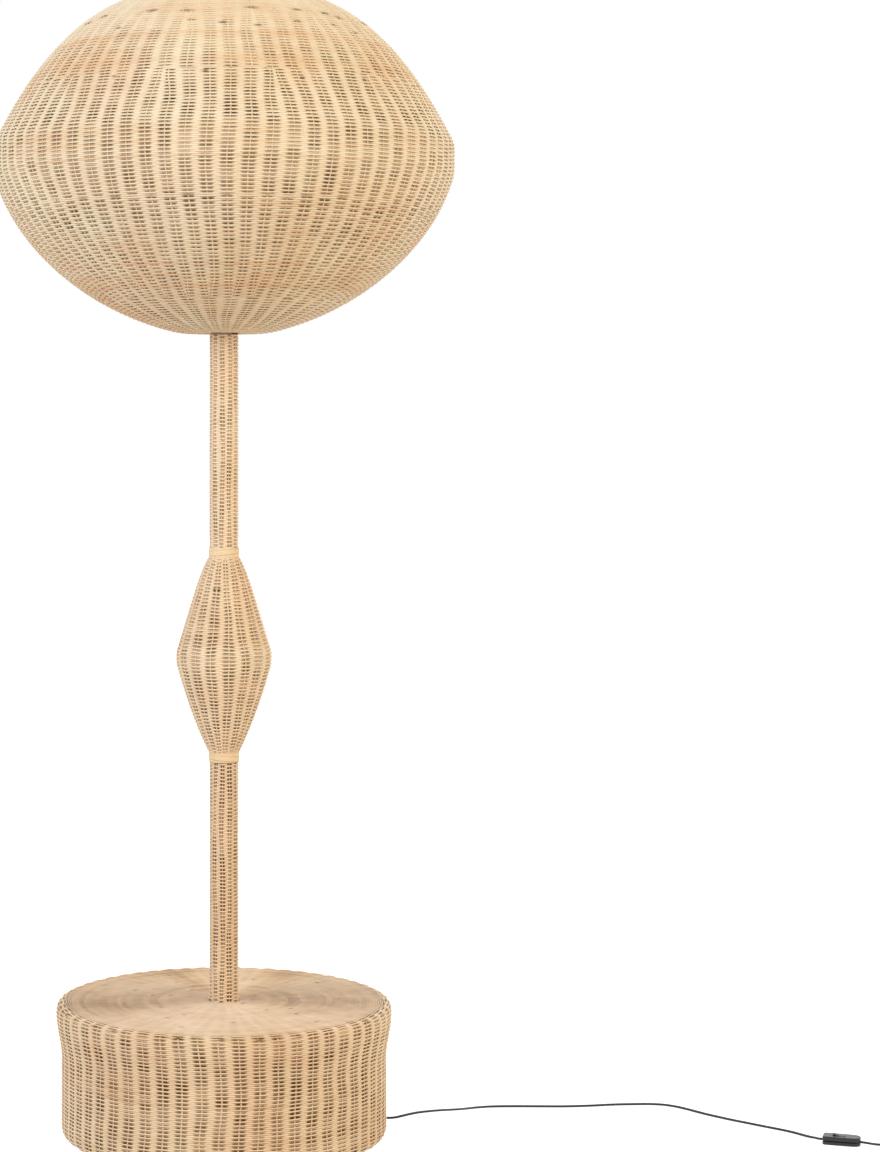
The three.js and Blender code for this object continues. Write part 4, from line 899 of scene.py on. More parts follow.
@dataclass(frozen=True)
class CaneFinish:
    """Natural rattan: pale to honey runs, lengthwise fibre, darker flecks, and painted shade in the recesses.
    """

    name: str
    pale: tuple[float, float, float, float]
    honey: tuple[float, float, float, float]
    brown: tuple[float, float, float, float]
    # recess is the colour of the painted shade in the recesses, recess_share its strength
    recess: tuple[float, float, float, float]
    rough: float = 0.58
    recess_share: float = 0.62
    flush: tuple[float, float, float, float] = (1.0, 0.9, 0.88, 1.0)
    flush_share: float = 0.6

    def make(self, effects: Effects) -> bpy.types.Material:
        """Builds the material: runs, patches and fibres choose the tone, and painted shade darkens the
        recesses.

        Args:
            effects: The shared groups.

        Returns:
            The material.
        """
        material, draw, shader = blank_material(self.name)
        strand = draw.add("ShaderNodeAttribute", None, attribute_name="strand", attribute_type="GEOMETRY")
        deep = draw.add("ShaderNodeAttribute", None, attribute_name="recess", attribute_type="GEOMETRY")
        fibre = effects.place(draw, effects.fibre, {"Strand": strand.outputs["Vector"]})
        patches = effects.place(draw, effects.patches, {"Scale": 7.0, "Contrast": 1.8})
        tone = draw.add("ShaderNodeSeparateXYZ", {0: strand.outputs["Vector"]}).outputs[2]
        level = draw.maths("ADD", draw.maths("MULTIPLY", tone, 0.35),
                           draw.maths("MULTIPLY", patches.outputs["Mask"], 0.45))
        level = draw.maths("ADD", level, draw.maths("MULTIPLY", fibre.outputs["Fibre"], 0.2))
        ramp = draw.add("ShaderNodeValToRGB", {0: level})
        stops = ramp.color_ramp.elements
        stops[0].position, stops[0].color = 0.15, self.pale
        stops[1].position, stops[1].color = 0.85, self.brown
        stops.new(0.55).color = self.honey
        fleck_share = draw.maths("MULTIPLY", fibre.outputs["Fleck"], 0.35)
        flecked = draw.blend(fleck_share, ramp.outputs[0], self.brown)
        drift = effects.place(draw, effects.patches, {"Scale": 12.0, "Contrast": 3.0})
        flush_share = draw.maths("MULTIPLY", drift.outputs["Mask"], self.flush_share)
        flushed = draw.blend(flush_share, flecked, self.flush, "MULTIPLY")
        # Painted shade: the recess attribute mixes in the recess colour, its strength varied in slow patches
        shade_marks = effects.place(draw, effects.patches, {"Scale": 34.0, "Contrast": 2.6})
        painted_shade_strength = draw.maths("ADD", draw.maths("MULTIPLY", shade_marks.outputs["Mask"], 0.4), self.recess_share - 0.2)
        share = draw.add("ShaderNodeClamp", {"Value": draw.maths("MULTIPLY", deep.outputs["Fac"], painted_shade_strength)})
        shaded = draw.blend(share.outputs[0], flushed, self.recess)
        rough = draw.maths("ADD", draw.maths("MULTIPLY", fibre.outputs["Fibre"], 0.2), self.rough - 0.1)
        bump = draw.add("ShaderNodeBump",
                        {"Height": fibre.outputs["Fibre"], "Strength": 0.35, "Distance": 0.3 * MM})
        draw.fill(shader, {"Base Color": shaded, "Roughness": rough, "Specular IOR Level": 0.35,
                           "Normal": bump.outputs[0]})
        return material


GRAIN_STRETCH = {Kind.METAL: (1.0, 1.0, 0.06), Kind.WOOD: (0.05, 1.0, 1.0)}


@dataclass(frozen=True)
class PlainFinish:
    """Metal, moulded plastic, rubber, wood or glaze, with slow patches, fine grain and a little bump."""

    name: str
    kind: Kind
    base: tuple[float, float, float, float]
    second: tuple[float, float, float, float]
    rough: float
    metallic: float = 0.0
    grain: float = 420.0
    bump: float = 0.12

    def make(self, effects: Effects) -> bpy.types.Material:
        """Builds the material.

        Args:
            effects: The shared groups.

        Returns:
            The material.
        """
        material, draw, shader = blank_material(self.name)
        place = draw.add("ShaderNodeTexCoord")
        stretch = GRAIN_STRETCH.get(self.kind, (1.0, 1.0, 1.0))
        mapped = draw.add("ShaderNodeMapping", {"Vector": place.outputs["Object"], "Scale": stretch})
        grain = draw.add("ShaderNodeTexNoise", {"Vector": mapped.outputs[0], "Scale": self.grain,
                                                "Detail": 3.0}).outputs[0]
        patches = effects.place(draw, effects.patches, {"Scale": 22.0, "Contrast": 1.6}).outputs["Mask"]
        share = draw.maths("ADD", draw.maths("MULTIPLY", grain, 0.5), draw.maths("MULTIPLY", patches, 0.5))
        glazed = self.kind is Kind.GLAZED
        spread = 0.06 if glazed else 0.16
        rough = draw.maths("ADD", draw.maths("MULTIPLY", share, spread), self.rough - spread / 2)
        bump = draw.add("ShaderNodeBump", {"Height": grain, "Strength": self.bump, "Distance": 0.2 * MM})
        draw.fill(shader, {"Base Color": draw.blend(share, self.base, self.second), "Roughness": rough,
                           "Metallic": self.metallic, "Coat Weight": 0.4 if glazed else 0.0,
                           "Normal": bump.outputs[0]})
        return material


@dataclass(frozen=True)
class OpalGlass:
    """Frosted bulb glass: a white, slightly translucent skin, a little duller in patches."""

    name: str = "Frosted glass"

    def make(self, effects: Effects) -> bpy.types.Material:
        """Builds the material.

        Args:
            effects: The shared groups.

        Returns:
            The material.
        """
        material, draw, shader = blank_material(self.name)
        patches = effects.place(draw, effects.patches, {"Scale": 40.0, "Contrast": 1.2}).outputs["Mask"]
        tint = draw.blend(patches, colour(240, 240, 236), colour(250, 250, 248))
        rough = draw.maths("ADD", draw.maths("MULTIPLY", patches, 0.08), 0.3)
        draw.fill(shader, {"Base Color": tint, "Roughness": rough, "Transmission Weight": 0.15,
                           "Coat Weight": 0.3})
        return material


class Finishes:
    """Every finish of the lamp, made once."""

    def __init__(self) -> None:
        """Builds the shared groups and then the materials."""
        effects = Effects()

        def cane(name: str, *tones: tuple[int, int, int], **shares: float) -> bpy.types.Material:
            """Makes a cane finish from its pale, honey, brown and recess tones."""
            return CaneFinish(name, *(colour(*tone) for tone in tones), **shares).make(effects)

        def plain(name: str, kind: Kind, base: tuple[int, int, int], second: tuple[int, int, int],
                  *values: float, **named: float) -> bpy.types.Material:
            """Makes a plain finish from its two tones, its roughness and what else it states."""
            return PlainFinish(name, kind, colour(*base), colour(*second), *values, **named).make(effects)

        # The first four cane finishes are one rattan coloured per region as painted light and shade: paler on
        # the shade, darker and redder on the lower column and the base's wall, and darker on the base's top
        self.cane = cane("Shade cane", (247, 235, 208), (239, 219, 184), (230, 190, 144), (114, 82, 30))
        self.honey = cane("Column cane", (251, 234, 204), (243, 218, 182), (226, 193, 153), (116, 82, 32))
        self.lower_shaded_cane = cane("Base cane", (247, 226, 192), (236, 208, 169), (214, 177, 134), (122, 78, 20),
                           recess_share=0.74)
        self.top_shaded_cane = cane("Base top cane", (248, 224, 195), (235, 206, 169), (186, 152, 114), (112, 80, 48),
                         flush_share=0.5)
        self.stake = cane("Stake cane", (250, 234, 204), (242, 220, 184), (224, 192, 154), (150, 118, 74))
        self.skin = cane("Peeled skin", (238, 218, 180), (230, 204, 162), (214, 182, 138), (120, 86, 46),
                         rough=0.5)
        metal, moulded = Kind.METAL, Kind.MOULDED
        self.steel = plain("Bright steel", metal, (168, 170, 172), (140, 142, 145), 0.34, 1.0)
        self.black_steel = plain("Black painted wire", moulded, (40, 40, 41), (30, 30, 31), 0.48, grain=900.0)
        self.iron = plain("Cast iron", moulded, (78, 78, 80), (58, 58, 60), 0.72, 0.6, grain=700.0, bump=0.5)
        self.plywood = plain("Plywood", Kind.WOOD, (206, 174, 126), (178, 142, 96), 0.66, grain=160.0)
        self.rubber = plain("Black rubber", Kind.RUBBER, (32, 32, 33), (24, 24, 25), 0.8, grain=900.0)
        self.plastic = plain("Black plastic", moulded, (20, 20, 22), (14, 14, 16), 0.4, grain=1400.0)
        self.flex = plain("Black cord skin", Kind.RUBBER, (9, 9, 10), (5, 5, 6), 0.6, grain=1600.0, bump=0.06)
        self.brass = plain("Brass", metal, (206, 172, 92), (180, 144, 70), 0.3, 1.0)
        self.ceramic = plain("White ceramic", Kind.GLAZED, (236, 233, 226), (226, 222, 214), 0.32, bump=0.04)
        self.glass = OpalGlass().make(effects)


# Woven parts

@dataclass
class Base:
    """Woven drum base: rings of weave over the top, round the rim and down the wall."""

    column: float = 20.2 * MM
    double_at: float = 100 * MM
    rim: float = 209 * MM
    calm_top: float = 0.12
    wall_stakes: int = 55
    centre_stakes: int = 27
    # Heights of the rings of small holes on the top, which painted shade darkens
    hole_rings: tuple[float, ...] = (22 * MM, 52 * MM, 84 * MM, 116 * MM, 148 * MM)
    # Painted light and shade by angle round the base: the top darker at the back and sides and paler at the
    # front, more recess shade at its sides than at its front, and the wall paler at its right front
    top_painted_shading: tuple[tuple[float, float], ...] = (
        (0.0, 0.4), (0.8, -0.1), (1.08, 0.45), (1.35, -0.2), (1.7, 0.0), (1.94, 0.75), (2.2, 0.15),
        (2.6, 0.15), (3.3, 0.4), (4.0, -0.2), (4.7, -0.4), (5.4, -0.25))
    top_shade_by_turn: tuple[tuple[float, float], ...] = (
        (0.0, 9.0), (0.6, 6.0), (1.2, 2.5), (1.9, 2.5), (2.6, 6.0), (3.14, 9.0), (3.9, 3.0), (4.7, 1.0),
        (5.5, 3.0))
    wall_painted_light: tuple[tuple[float, float], ...] = ((0.3, 0.0), (4.9, 0.0), (5.6, -0.5), (6.1, -0.5))

    def outline(self) -> Outline:
        """The drum's outline from the column out over the rim and down to the foot, as in the CAD model."""
        points = np.concatenate([
            to_array([(19.8, 172.5), (210, 172.5)]), quadratic((210, 172.5), (219.5, 172.5), (219.5, 159)),
            cubic((219.5, 159), (219.5, 139.667), (212.5, 120.333), (212.5, 101)), to_array([(212.5, 13.5)]),
            quadratic((212.5, 13.5), (212.5, 0.5), (205, 0.5)), to_array([(201, 0.5)])]) * MM
        return Outline(points, soften=4 * MM)

    def build(self, finishes: Finishes) -> None:
        """Builds the weave and its stakes.

        Args:
            finishes: The lamp's finishes.
        """
        outline = self.outline()
        split = self.double_at - self.column
        rim = outline.where(lambda r, z: r >= self.rim)
        calm = ((0.0, self.calm_top), (rim - 4 * MM, self.calm_top), (rim + 2 * MM, 1.1),
                (rim + 30 * MM, 1.0))
        # Rings of small holes on the top, and dashes just below the rim, each darkened with painted shade
        top_holes = sum((gap_ring(at, count=9, seed=60 + number, shift=14 * MM, missing=0.35,
                               half_width=2.8 * MM, half_height=2.4 * MM)
                      for number, at in enumerate(self.hole_rings)), ())
        edge = gap_ring(rim + 8 * MM, count=self.wall_stakes, seed=70, shift=0.8 * MM, missing=0.15,
                        half_width=4.6 * MM, half_height=2.3 * MM, spread=0.2)
        top = {"sink": 0.2 * MM, "calm": calm, "tones": self.top_painted_shading, "shade_marks": self.top_shade_by_turn,
               "groove": 0.95, "dark": 0.4, "half_stake": 0.8 * MM, "thin_cross": 1.0,
               "half_over": 1.17 * MM, "half_cross": 1.17 * MM, "half_behind": 1.22 * MM}
        weave(Weave("base_top_centre", outline, self.centre_stakes, 0.0, split, seed=11, gaps=top_holes, **top),
              finishes.top_shaded_cane, finishes, "base_weave")
        weave(Weave("base_top_ring", outline, self.wall_stakes, split, rim, seed=12, gaps=top_holes + edge,
                    above=self.centre_stakes, merge=40 * MM, **top), finishes.top_shaded_cane, finishes, "base_weave")
        weave(Weave("base_wall", outline, self.wall_stakes, rim, outline.length - 1.2 * MM, seed=13,
                    sink=0.2 * MM, calm=calm, gaps=edge, half_over=1.12 * MM, groove=0.42,
                    deepest=1.38 * MM, tones=self.wall_painted_light), finishes.lower_shaded_cane, finishes, "base_weave")


def weave(part: Weave, cane: bpy.types.Material, finishes: Finishes, *nodes: str) -> None:
    """Builds a stretch of weave and dresses it.

    Args:
        part: The stretch.
        cane: The strands' finish.
        finishes: The lamp's finishes, for the stakes.
        *nodes: The CAD nodes that it stands for.
    """
    for number, arrays in enumerate(part.pieces(), 1):
        dress(arrays.build(f"{part.name}_strand_{number}"), cane, "rattan", *nodes)
    dress(part.stake_parts().build(f"{part.name}_stakes"), finishes.stake, "rattan", *nodes)


@dataclass
class Column:
    """Woven sleeve round the tube, below and above the bulge."""

    radius: float = 19.5 * MM
    stakes: int = 11
    low: tuple[float, float] = (168.1 * MM, 483.9 * MM)
    high: tuple[float, float] = (762.1 * MM, 1042.7 * MM)

    def build(self, finishes: Finishes) -> None:
        """Builds both stretches.

        Args:
            finishes: The lamp's finishes.
        """
        # Each stretch: name, CAD node, ends, seed, finish, and strength of its painted shade; the lower one
        # is darker
        stretches = (("column_low", "column_weave_lower", self.low, 21, finishes.lower_shaded_cane, 1.8),
                     ("column_high", "column_weave_upper", self.high, 22, finishes.honey, 1.0))
        for name, node, (bottom, top), seed, cane, dark in stretches:
            outline = Outline(to_array([(self.radius, top), (self.radius, bottom)]))
            length = outline.length
            calm = ((0.0, 1.2), (7 * MM, 1.0), (length - 7 * MM, 1.0), (length, 0.6))
            part = Weave(name, outline, self.stakes, 0.9 * MM, length - 0.9 * MM, seed=seed, dark=dark,
                         surface=seed, uneven=0.35 * MM, wander=0.12, stripe=0.34, groove=0.32, calm=calm,
                         half_stake=0.7 * MM, slack_step=9 * MM, stake_start=0.0, stake_end=length)
            weave(part, cane, finishes, node)


@dataclass
class Bulge:
    """Diamond-shaped bulge of the column and the wrapped collars at its ends."""

    stakes: int = 17
    collar_radius: float = 19.7 * MM
    collar_steps: int = 72
    strip_half_thick: float = 0.28 * MM
    collars: tuple[tuple[str, float, float, float], ...] = (
        ("bulge_binding_lower", 484.1 * MM, 493.8 * MM, -1.0),
        ("bulge_binding_upper", 752.2 * MM, 761.9 * MM, 1.0))

    def outline(self) -> Outline:
        """The bulge's outline, as in the CAD model."""
        points = np.concatenate([
            to_array([(19.5, 752)]), cubic((19.5, 752), (32.173, 737.492), (50.09, 665.572), (63.2, 628)),
            to_array([(63.2, 611)]), cubic((63.2, 611), (52.974, 574.964), (38, 528), (19.5, 494))]) * MM
        return Outline(points)

    def build(self, finishes: Finishes) -> None:
        """Builds the weave and the collars.

        Args:
            finishes: The lamp's finishes.
        """
        outline = self.outline()
        front = outline.where(lambda r, z: z <= 709.6 * MM)
        # Two dark dots at the bulge's front: gaps with painted shade
        pair = tuple(Gap(-math.pi / 2 + turn, front, half_width=1.8 * MM, half_height=1.9 * MM, spread=0.7,
                         dark=dark)
                     for turn, dark in ((-0.345, 2.8), (-0.18, 3.6)))
        length = outline.length
        calm = ((0.0, 0.35), (12 * MM, 1.0), (length - 12 * MM, 1.0), (length, 0.35))
        part = Weave("bulge", outline, self.stakes, 0.5 * MM, length - 0.5 * MM, seed=31, surface=31,
                     uneven=0.5 * MM, gaps=pair, calm=calm, groove=0.4, dark=0.86)
        weave(part, finishes.honey, finishes, "bulge_weave")
        for name, low, high, lean in self.collars:
            self._collar(name, low, high, lean, finishes)

    def _collar(self, name: str, low: float, high: float, lean: float, finishes: Finishes) -> None:
        """A collar of flat cane: an upright ring, and a strip round it whose middle is level + tilt cos a.

        Args:
            name: The CAD node's name, which the piece's name starts with.
            low: Height of its lower edge.
            high: Height of its upper edge.
            lean: Which way the strip climbs, 1 or -1.
            finishes: The lamp's finishes.
        """
        angle = np.linspace(0, TAU, self.collar_steps, endpoint=False)
        middle, half = (low + high) / 2, (high - low) / 2
        level = np.full(len(angle), middle - lean * 1.0 * MM)
        ring = self._band(angle, level, self.collar_radius - 0.35 * MM, half + 2.2 * MM, 0.0)
        tilted = middle + 1.8 * MM * lean * np.cos(angle)
        strip = self._band(angle, tilted, self.collar_radius, half - 1.0 * MM, 0.5)
        dress(merge([ring, strip]).build(f"{name}_cane"), finishes.skin, "rattan_pale", name)

    def _band(self, angle: np.ndarray, level: np.ndarray, radius: float, half_width: float, edge: float
              ) -> MeshParts:
        """A flat closed strip round the axis through (radius cos a, radius sin a, level).

        Args:
            angle: Angle of each ring of the strip.
            level: Its height.
            radius: Its distance from the axis.
            half_width: Half the strip's width, which is upright.
            edge: Strength of the painted shade along its edges.

        Returns:
            The strip's arrays.
        """
        section = to_array([(1, 0.6), (0.75, 0.93), (-0.75, 1), (-1, 0.8), (-1, -0.8), (-0.75, -1),
                            (0.75, -0.93), (1, -0.6)])
        cos, sin, count = np.cos(angle), np.sin(angle), len(angle)
        out = np.stack([cos, sin, np.zeros_like(cos)], axis=1)
        upright = np.tile([0.0, 0.0, 1.0], (count, 1))
        middle = np.stack([radius * cos, radius * sin, level], axis=1)
        half_thick = np.full(count, self.strip_half_thick)
        parts = TubePath(middle, out, upright, half_thick, np.full(count, half_width)).parts(section, True)
        parts.strand = strand_marks(angle * 0.02, 0.45, len(section))
        # Painted shade along the strip's edges, where it laps the ring
        parts.recess = np.where(np.tile(np.abs(section[:, 1]) > 0.9, count), edge, 0.0)
        return parts


@dataclass
class Shade:
    """Lens-shaped woven shade with its rolled border; its wire frame stays as the CAD model has it."""

    mouth_stakes: int = 45
    dome_stakes: int = 61
    belly_stakes: int = 73
    foot_stakes: int = 37
    mouth_join: float = 189 * MM
    dome_join: float = 262 * MM
    waist_join: float = 287 * MM
    foot_join: float = 160 * MM
    coarse: float = 1.29
    wrap_half: float = 1.25 * MM
    wrap_steps: int = 9

    def outline(self) -> Outline:
        """The shade's outline from its mouth to its foot, as in the CAD model."""
        dome = cubic((100, 1483), (212.807, 1460.575), (271.803, 1342.795), (301, 1288), 240)
        bowl = cubic((301, 1250), (279.328, 1161.404), (185.115, 1070.738), (60, 1043), 240)
        points = np.concatenate([[(100, 1483)], dome, [(301, 1250)], bowl, [(13.4, 1043)]]) * MM
        return Outline(points, soften=12 * MM)

    def build(self, finishes: Finishes) -> None:
        """Builds the weave in five zones, with stakes let in between them, and the border.

        Args:
            finishes: The lamp's finishes.
        """
        outline = self.outline()
        mouth = outline.where(lambda r, z: r >= self.mouth_join)
        dome = outline.where(lambda r, z: r >= self.dome_join)
        waist = outline.where(lambda r, z: (z < 1200 * MM) & (r <= self.waist_join))
        foot = outline.where(lambda r, z: (z < 1200 * MM) & (r <= self.foot_join))
        belly = outline.where(lambda r, z: r >= 299 * MM)
        calm = ((0.0, 0.22), (mouth, 0.25), (mouth + 30 * MM, 0.42), (dome, 0.7), (belly, 1.0),
                (waist, 0.9), (foot - 110 * MM, 0.72), (foot - 30 * MM, 0.64), (foot + 40 * MM, 0.62),
                (outline.length, 0.55))
        # Painted shade: a darker, browner tone toward the underside
        painted_shade_along = ((0.0, 0.0), (waist - 20 * MM, 0.0), (waist + 60 * MM, 0.22), (foot, 0.3),
                 (outline.length, 0.45))
        # Rings of holes near the mouth and the dome, each darkened with painted shade
        gaps = (gap_ring(mouth + 4 * MM, count=28, seed=81, shift=5 * MM, missing=0.15, half_width=7 * MM,
                         half_height=3.4 * MM, spread=0.8)
                + gap_ring(mouth + 34 * MM, count=28, seed=82, shift=9 * MM, missing=0.4,
                           half_width=4 * MM, half_height=2.6 * MM)
                + gap_ring(dome + 10 * MM, count=15, seed=83, shift=12 * MM, missing=0.3,
                           half_width=2.6 * MM, half_height=2.4 * MM))
        # Each zone: name, stakes, stakes above, stakes below, start, end, size, and groove, the painted shade
        # in the creases between rows
        zones = (
            ("shade_mouth", self.mouth_stakes, 0, 0, 0.0, mouth, 1.0, 0.22),
            ("shade_dome", self.dome_stakes, self.mouth_stakes, 0, mouth, dome, 1.0, 0.22),
            ("shade_belly", self.belly_stakes, self.dome_stakes, 0, dome, waist, 1.0, 0.25),
            ("shade_waist", self.belly_stakes, 0, self.foot_stakes, waist, foot, self.coarse, 0.46),
            ("shade_foot", self.foot_stakes, 0, 0, foot, outline.length - 1.0 * MM, self.coarse, 0.36))
        for number, (name, stakes, above, below, start, end, size, groove) in enumerate(zones):
            part = Weave(name, outline, stakes, start, end, seed=41 + number, surface=40,
                         uneven=0.65 * MM, gaps=gaps, calm=calm, painted_shade_along=painted_shade_along, dark=0.88, groove=groove,
                         above=above, below=below,
                         pitch=2.4 * MM * size, half_over=1.2 * MM * size, half_cross=1.75 * MM * size,
                         half_behind=2.3 * MM * size)
            weave(part, finishes.cane, finishes, "shade_weave", "shade_dome_weave")
        self._border(finishes)

    def _border(self, finishes: Finishes) -> None:
        """The rolled border: cane wound round a ring, (R + r cos t, r sin t) with many turns of t in a round.

        Args:
            finishes: The lamp's finishes.
        """
        low, high = (np.array(corner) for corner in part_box("shade_border"))
        tube = (high[2] - low[2]) / 2
        ring, level = high[0] - tube, (high[2] + low[2]) / 2
        half, steps = self.wrap_half, self.wrap_steps
        count = int(TAU * ring / (2.05 * half)) * steps
        index = np.arange(count)
        turn, roll = TAU * index / count, TAU * index / steps
        reach = tube - half + 0.8 * MM
        cos, sin = np.cos(turn), np.sin(turn)
        out = np.stack([np.cos(roll) * cos, np.cos(roll) * sin, np.sin(roll)], axis=1)
        side = np.stack([-sin, cos, np.zeros_like(sin)], axis=1)
        centre = np.stack([ring * cos, ring * sin, np.full_like(cos, level)], axis=1)
        cane = TubePath(centre + reach * out, out, side, np.full(count, half), np.full(count, half * 1.02))
        parts = cane.parts(closed=True)
        parts.strand = strand_marks(index * 0.004, 0.3)
        parts.recess = np.zeros(len(parts.points))
        dress(parts.build("shade_border_cane"), finishes.skin, "rattan_pale", "shade_border")


# Cord

def smooth_route(points: np.ndarray, spacing: float) -> np.ndarray:
    """A curve through the points, in cubics with tangents spaced by the square root of distance.

    Args:
        points: The places that it passes.
        spacing: Distance between the points that come back.

    Returns:
        Points along the curve.
    """
    points = to_array(points)
    ends = np.concatenate([[2 * points[0] - points[1]], points, [2 * points[-1] - points[-2]]])
    gap = np.sqrt(np.maximum(np.linalg.norm(np.diff(ends, axis=0), axis=1), 1e-9))
    before, here, after, beyond = ends[:-3], ends[1:-2], ends[2:-1], ends[3:]
    g0, g1, g2 = gap[:-2, None], gap[1:-1, None], gap[2:, None]
    leave = ((here - before) / g0 - (after - before) / (g0 + g1) + (after - here) / g1) * g1
    reach = ((after - here) / g1 - (beyond - here) / (g1 + g2) + (beyond - after) / g2) * g1
    counts = np.maximum((np.linalg.norm(after - here, axis=1) / spacing).astype(int), 1)
    stretch = np.repeat(np.arange(len(here)), counts)
    t = (np.arange(counts.sum()) - np.repeat(np.cumsum(counts) - counts, counts)) / counts[stretch]
    t = t[:, None]
    a, b, c, d = (v[stretch] for v in (here, after, leave, reach))
    line = ((2 * t ** 3 - 3 * t ** 2 + 1) * a + (t ** 3 - 2 * t ** 2 + t) * c
            + (3 * t ** 2 - 2 * t ** 3) * b + (t ** 3 - t ** 2) * d)
    return np.concatenate([line, points[-1:]])


def thinned(line: np.ndarray, least: float = 0.2) -> np.ndarray:
    """Which points of a line to keep: those farther than the least distance from the one before."""
    return np.concatenate([[True], np.linalg.norm(np.diff(line, axis=0), axis=1) > least])


def directions(line: np.ndarray) -> np.ndarray:
    """The line's direction at each of its points."""
    along = np.gradient(line, axis=0)
    return along / np.linalg.norm(along, axis=1)[:, None]


@dataclass
class Cord:
    """Flat two-core cord: over the floor, through the switch, and into a round coil with its plug."""

    width: float = 4.8
    thick: float = 2.4
    clearance: float = 0.3
    base_radius: float = 212.5
    exit_turn: float = -4 * math.pi / 180
    exit_level: float = 21.0
    switch: tuple[float, float, float] = (770.5, -56.5, 4.6)
    switch_turn: float = -18 * math.pi / 180
    switch_length: float = 47.0
    coil: tuple[float, float] = (926.0, -2.0)
    heading: float = 18 * math.pi / 180
    inner: float = 21.5
    pitch: float = 3.0
    layer: float = 5.4
    lift: float = 0.9
    turns_in: float = 4.0
    turns_out: float = 4 + 42 / 360
    approach: float = 56.0
    leave: float = 24.0
    plug_thick: float = 13.7
    lead: tuple[tuple[float, float, float], ...] = (
        (217.5, -15.2, 21.2), (223.5, -15.4, 21.9), (231, -14, 23.2), (240, -10.5, 24.4), (252, -3, 24.8),
        (268, 9.5, 23.4), (286, 29, 19.8), (304, 51, 15), (322, 77, 9.5), (342, 103, 4.8), (365, 119, 2),
        (398, 122, 1.5), (430, 121.5, 1.5), (463, 121.5, 1.5), (496, 125, 1.5), (529, 131, 1.5),
        (562, 133.4, 1.5), (581, 133.4, 1.5), (596, 130, 1.5), (610, 121.5, 1.5), (623, 108, 1.5),
        (636, 91.5, 1.5), (649, 76, 1.5), (663, 61.5, 1.5), (676, 48.5, 1.5), (690, 36, 1.5), (703, 24, 1.5),
        (717, 11.5, 1.5), (730, 0, 1.5), (742, -12.5, 1.5), (751, -25.5, 1.7), (757.5, -38, 2.6),
        (763, -48, 3.8))
    inside: tuple[tuple[float, float], ...] = (
        (212.5, 21), (205.063, 21), (185.088, 21.5), (160.013, 25), (130.05, 34), (94.988, 46), (65.025, 55),
        (42.075, 58.5), (22.1, 64), (8.075, 76), (1.063, 94), (0, 172.5))
    tail: tuple[tuple[float, float, float], ...] = (
        (822.5, -74.1, 4.2), (830, -75.2, 3.2), (838, -73.8, 2.1), (847, -71, 1.5), (857, -67.7, 1.5))

    def exit_point(self) -> np.ndarray:
        """Where the cord leaves the base's wall."""
        reach = self.base_radius + self.clearance
        return to_array([reach * math.cos(self.exit_turn), reach * math.sin(self.exit_turn), self.exit_level])

    def switch_point(self, along: float) -> np.ndarray:
        """A point on the switch's long axis, where the cord goes in."""
        x, y, z = self.switch
        return to_array([x + along * math.cos(self.switch_turn), y + along * math.sin(self.switch_turn), z])

    def coil_steps(self) -> tuple[np.ndarray, np.ndarray]:
        """The coil's middle line and its roll from flat (0) to on edge (1).

        It comes in straight, winds in on the lower layer at radius = inner + pitch |turns - turns_in|, climbs
        over half a turn where the spiral reverses, winds out on the upper layer, and leaves straight.

        Returns:
            Points and rolls along it.
        """
        start, total = self.heading - math.pi / 2, TAU * (self.turns_in + self.turns_out)
        reversal = TAU * self.turns_in
        low = self.lift + self.width / 2
        high = low + self.layer
        lying = self.thick / 2 + self.clearance
        twist = lambda share: ease((share - 0.15) / 0.7)
        outer = self.inner + self.pitch * self.turns_in
        foot = to_array([self.coil[0] + outer * math.cos(start), self.coil[1] + outer * math.sin(start), 0])
        ahead = to_array([math.cos(self.heading), math.sin(self.heading), 0])
        share = np.linspace(0, 1, 28)[:-1]
        approach = foot + ahead * (self.approach * (share - 1))[:, None]
        approach[:, 2] = lying + (low - lying) * twist(share)
        turn = np.linspace(0, total, int(total / TAU * 48))
        radius = self.inner + self.pitch * np.abs(reversal - turn) / TAU
        level = low + self.layer * ease((turn - reversal) / math.pi + 0.5)
        wound = np.column_stack([self.coil + radius[:, None] * circle(start + turn), level])
        way = start + total + math.pi / 2
        after = np.linspace(0, 1, 14)[1:]
        gone = wound[-1] + np.outer(self.leave * after, [math.cos(way), math.sin(way), 0])
        gone[:, 2] = high + (self.plug_thick / 2 - high) * twist(after)
        rolls = np.concatenate([twist(share), np.ones(len(turn)), 1 - twist(after)])
        return np.concatenate([approach, wound, gone]), rolls

    def build(self, finishes: Finishes) -> None:
        """Args:
            finishes: The lamp's finishes.
        """
        enter = self.switch_point(-self.clearance)
        leave = self.switch_point(self.switch_length + self.clearance)
        lead = smooth_route(np.concatenate([[self.exit_point()], self.lead,
                                            [self.switch_point(-self.clearance - self.width), enter]]), 2.5)
        coil, coil_roll = self.coil_steps()
        ahead = to_array([math.cos(self.heading), math.sin(self.heading), 0])
        before = coil[0] - ahead * self.width
        inside = enter + np.outer(np.linspace(0, 1, 14)[1:-1], leave - enter)
        tail = smooth_route(np.concatenate([[leave], self.tail, [before, coil[0]]]), 2.5)[:-1]
        line = np.concatenate([lead, inside, tail, coil])
        roll = np.concatenate([np.zeros(len(lead) + len(inside) + len(tail)), coil_roll])
        keep = thinned(line)
        line, roll = line[keep], roll[keep]
        along = directions(line)
        level_side = np.cross([0, 0, 1.0], along)
        level_side /= np.linalg.norm(level_side, axis=1)[:, None]
        upright = np.cross(along, level_side)
        angle = roll[:, None] * math.pi / 2
        wide = np.cos(angle) * level_side + np.sin(angle) * upright
        piece = self._tube(line, wide, along).build("flat_cord")
        dress(piece, finishes.flex, "black_plastic", "cord_lead", "cord_tail", "cord_coil")
        self._inside(finishes)

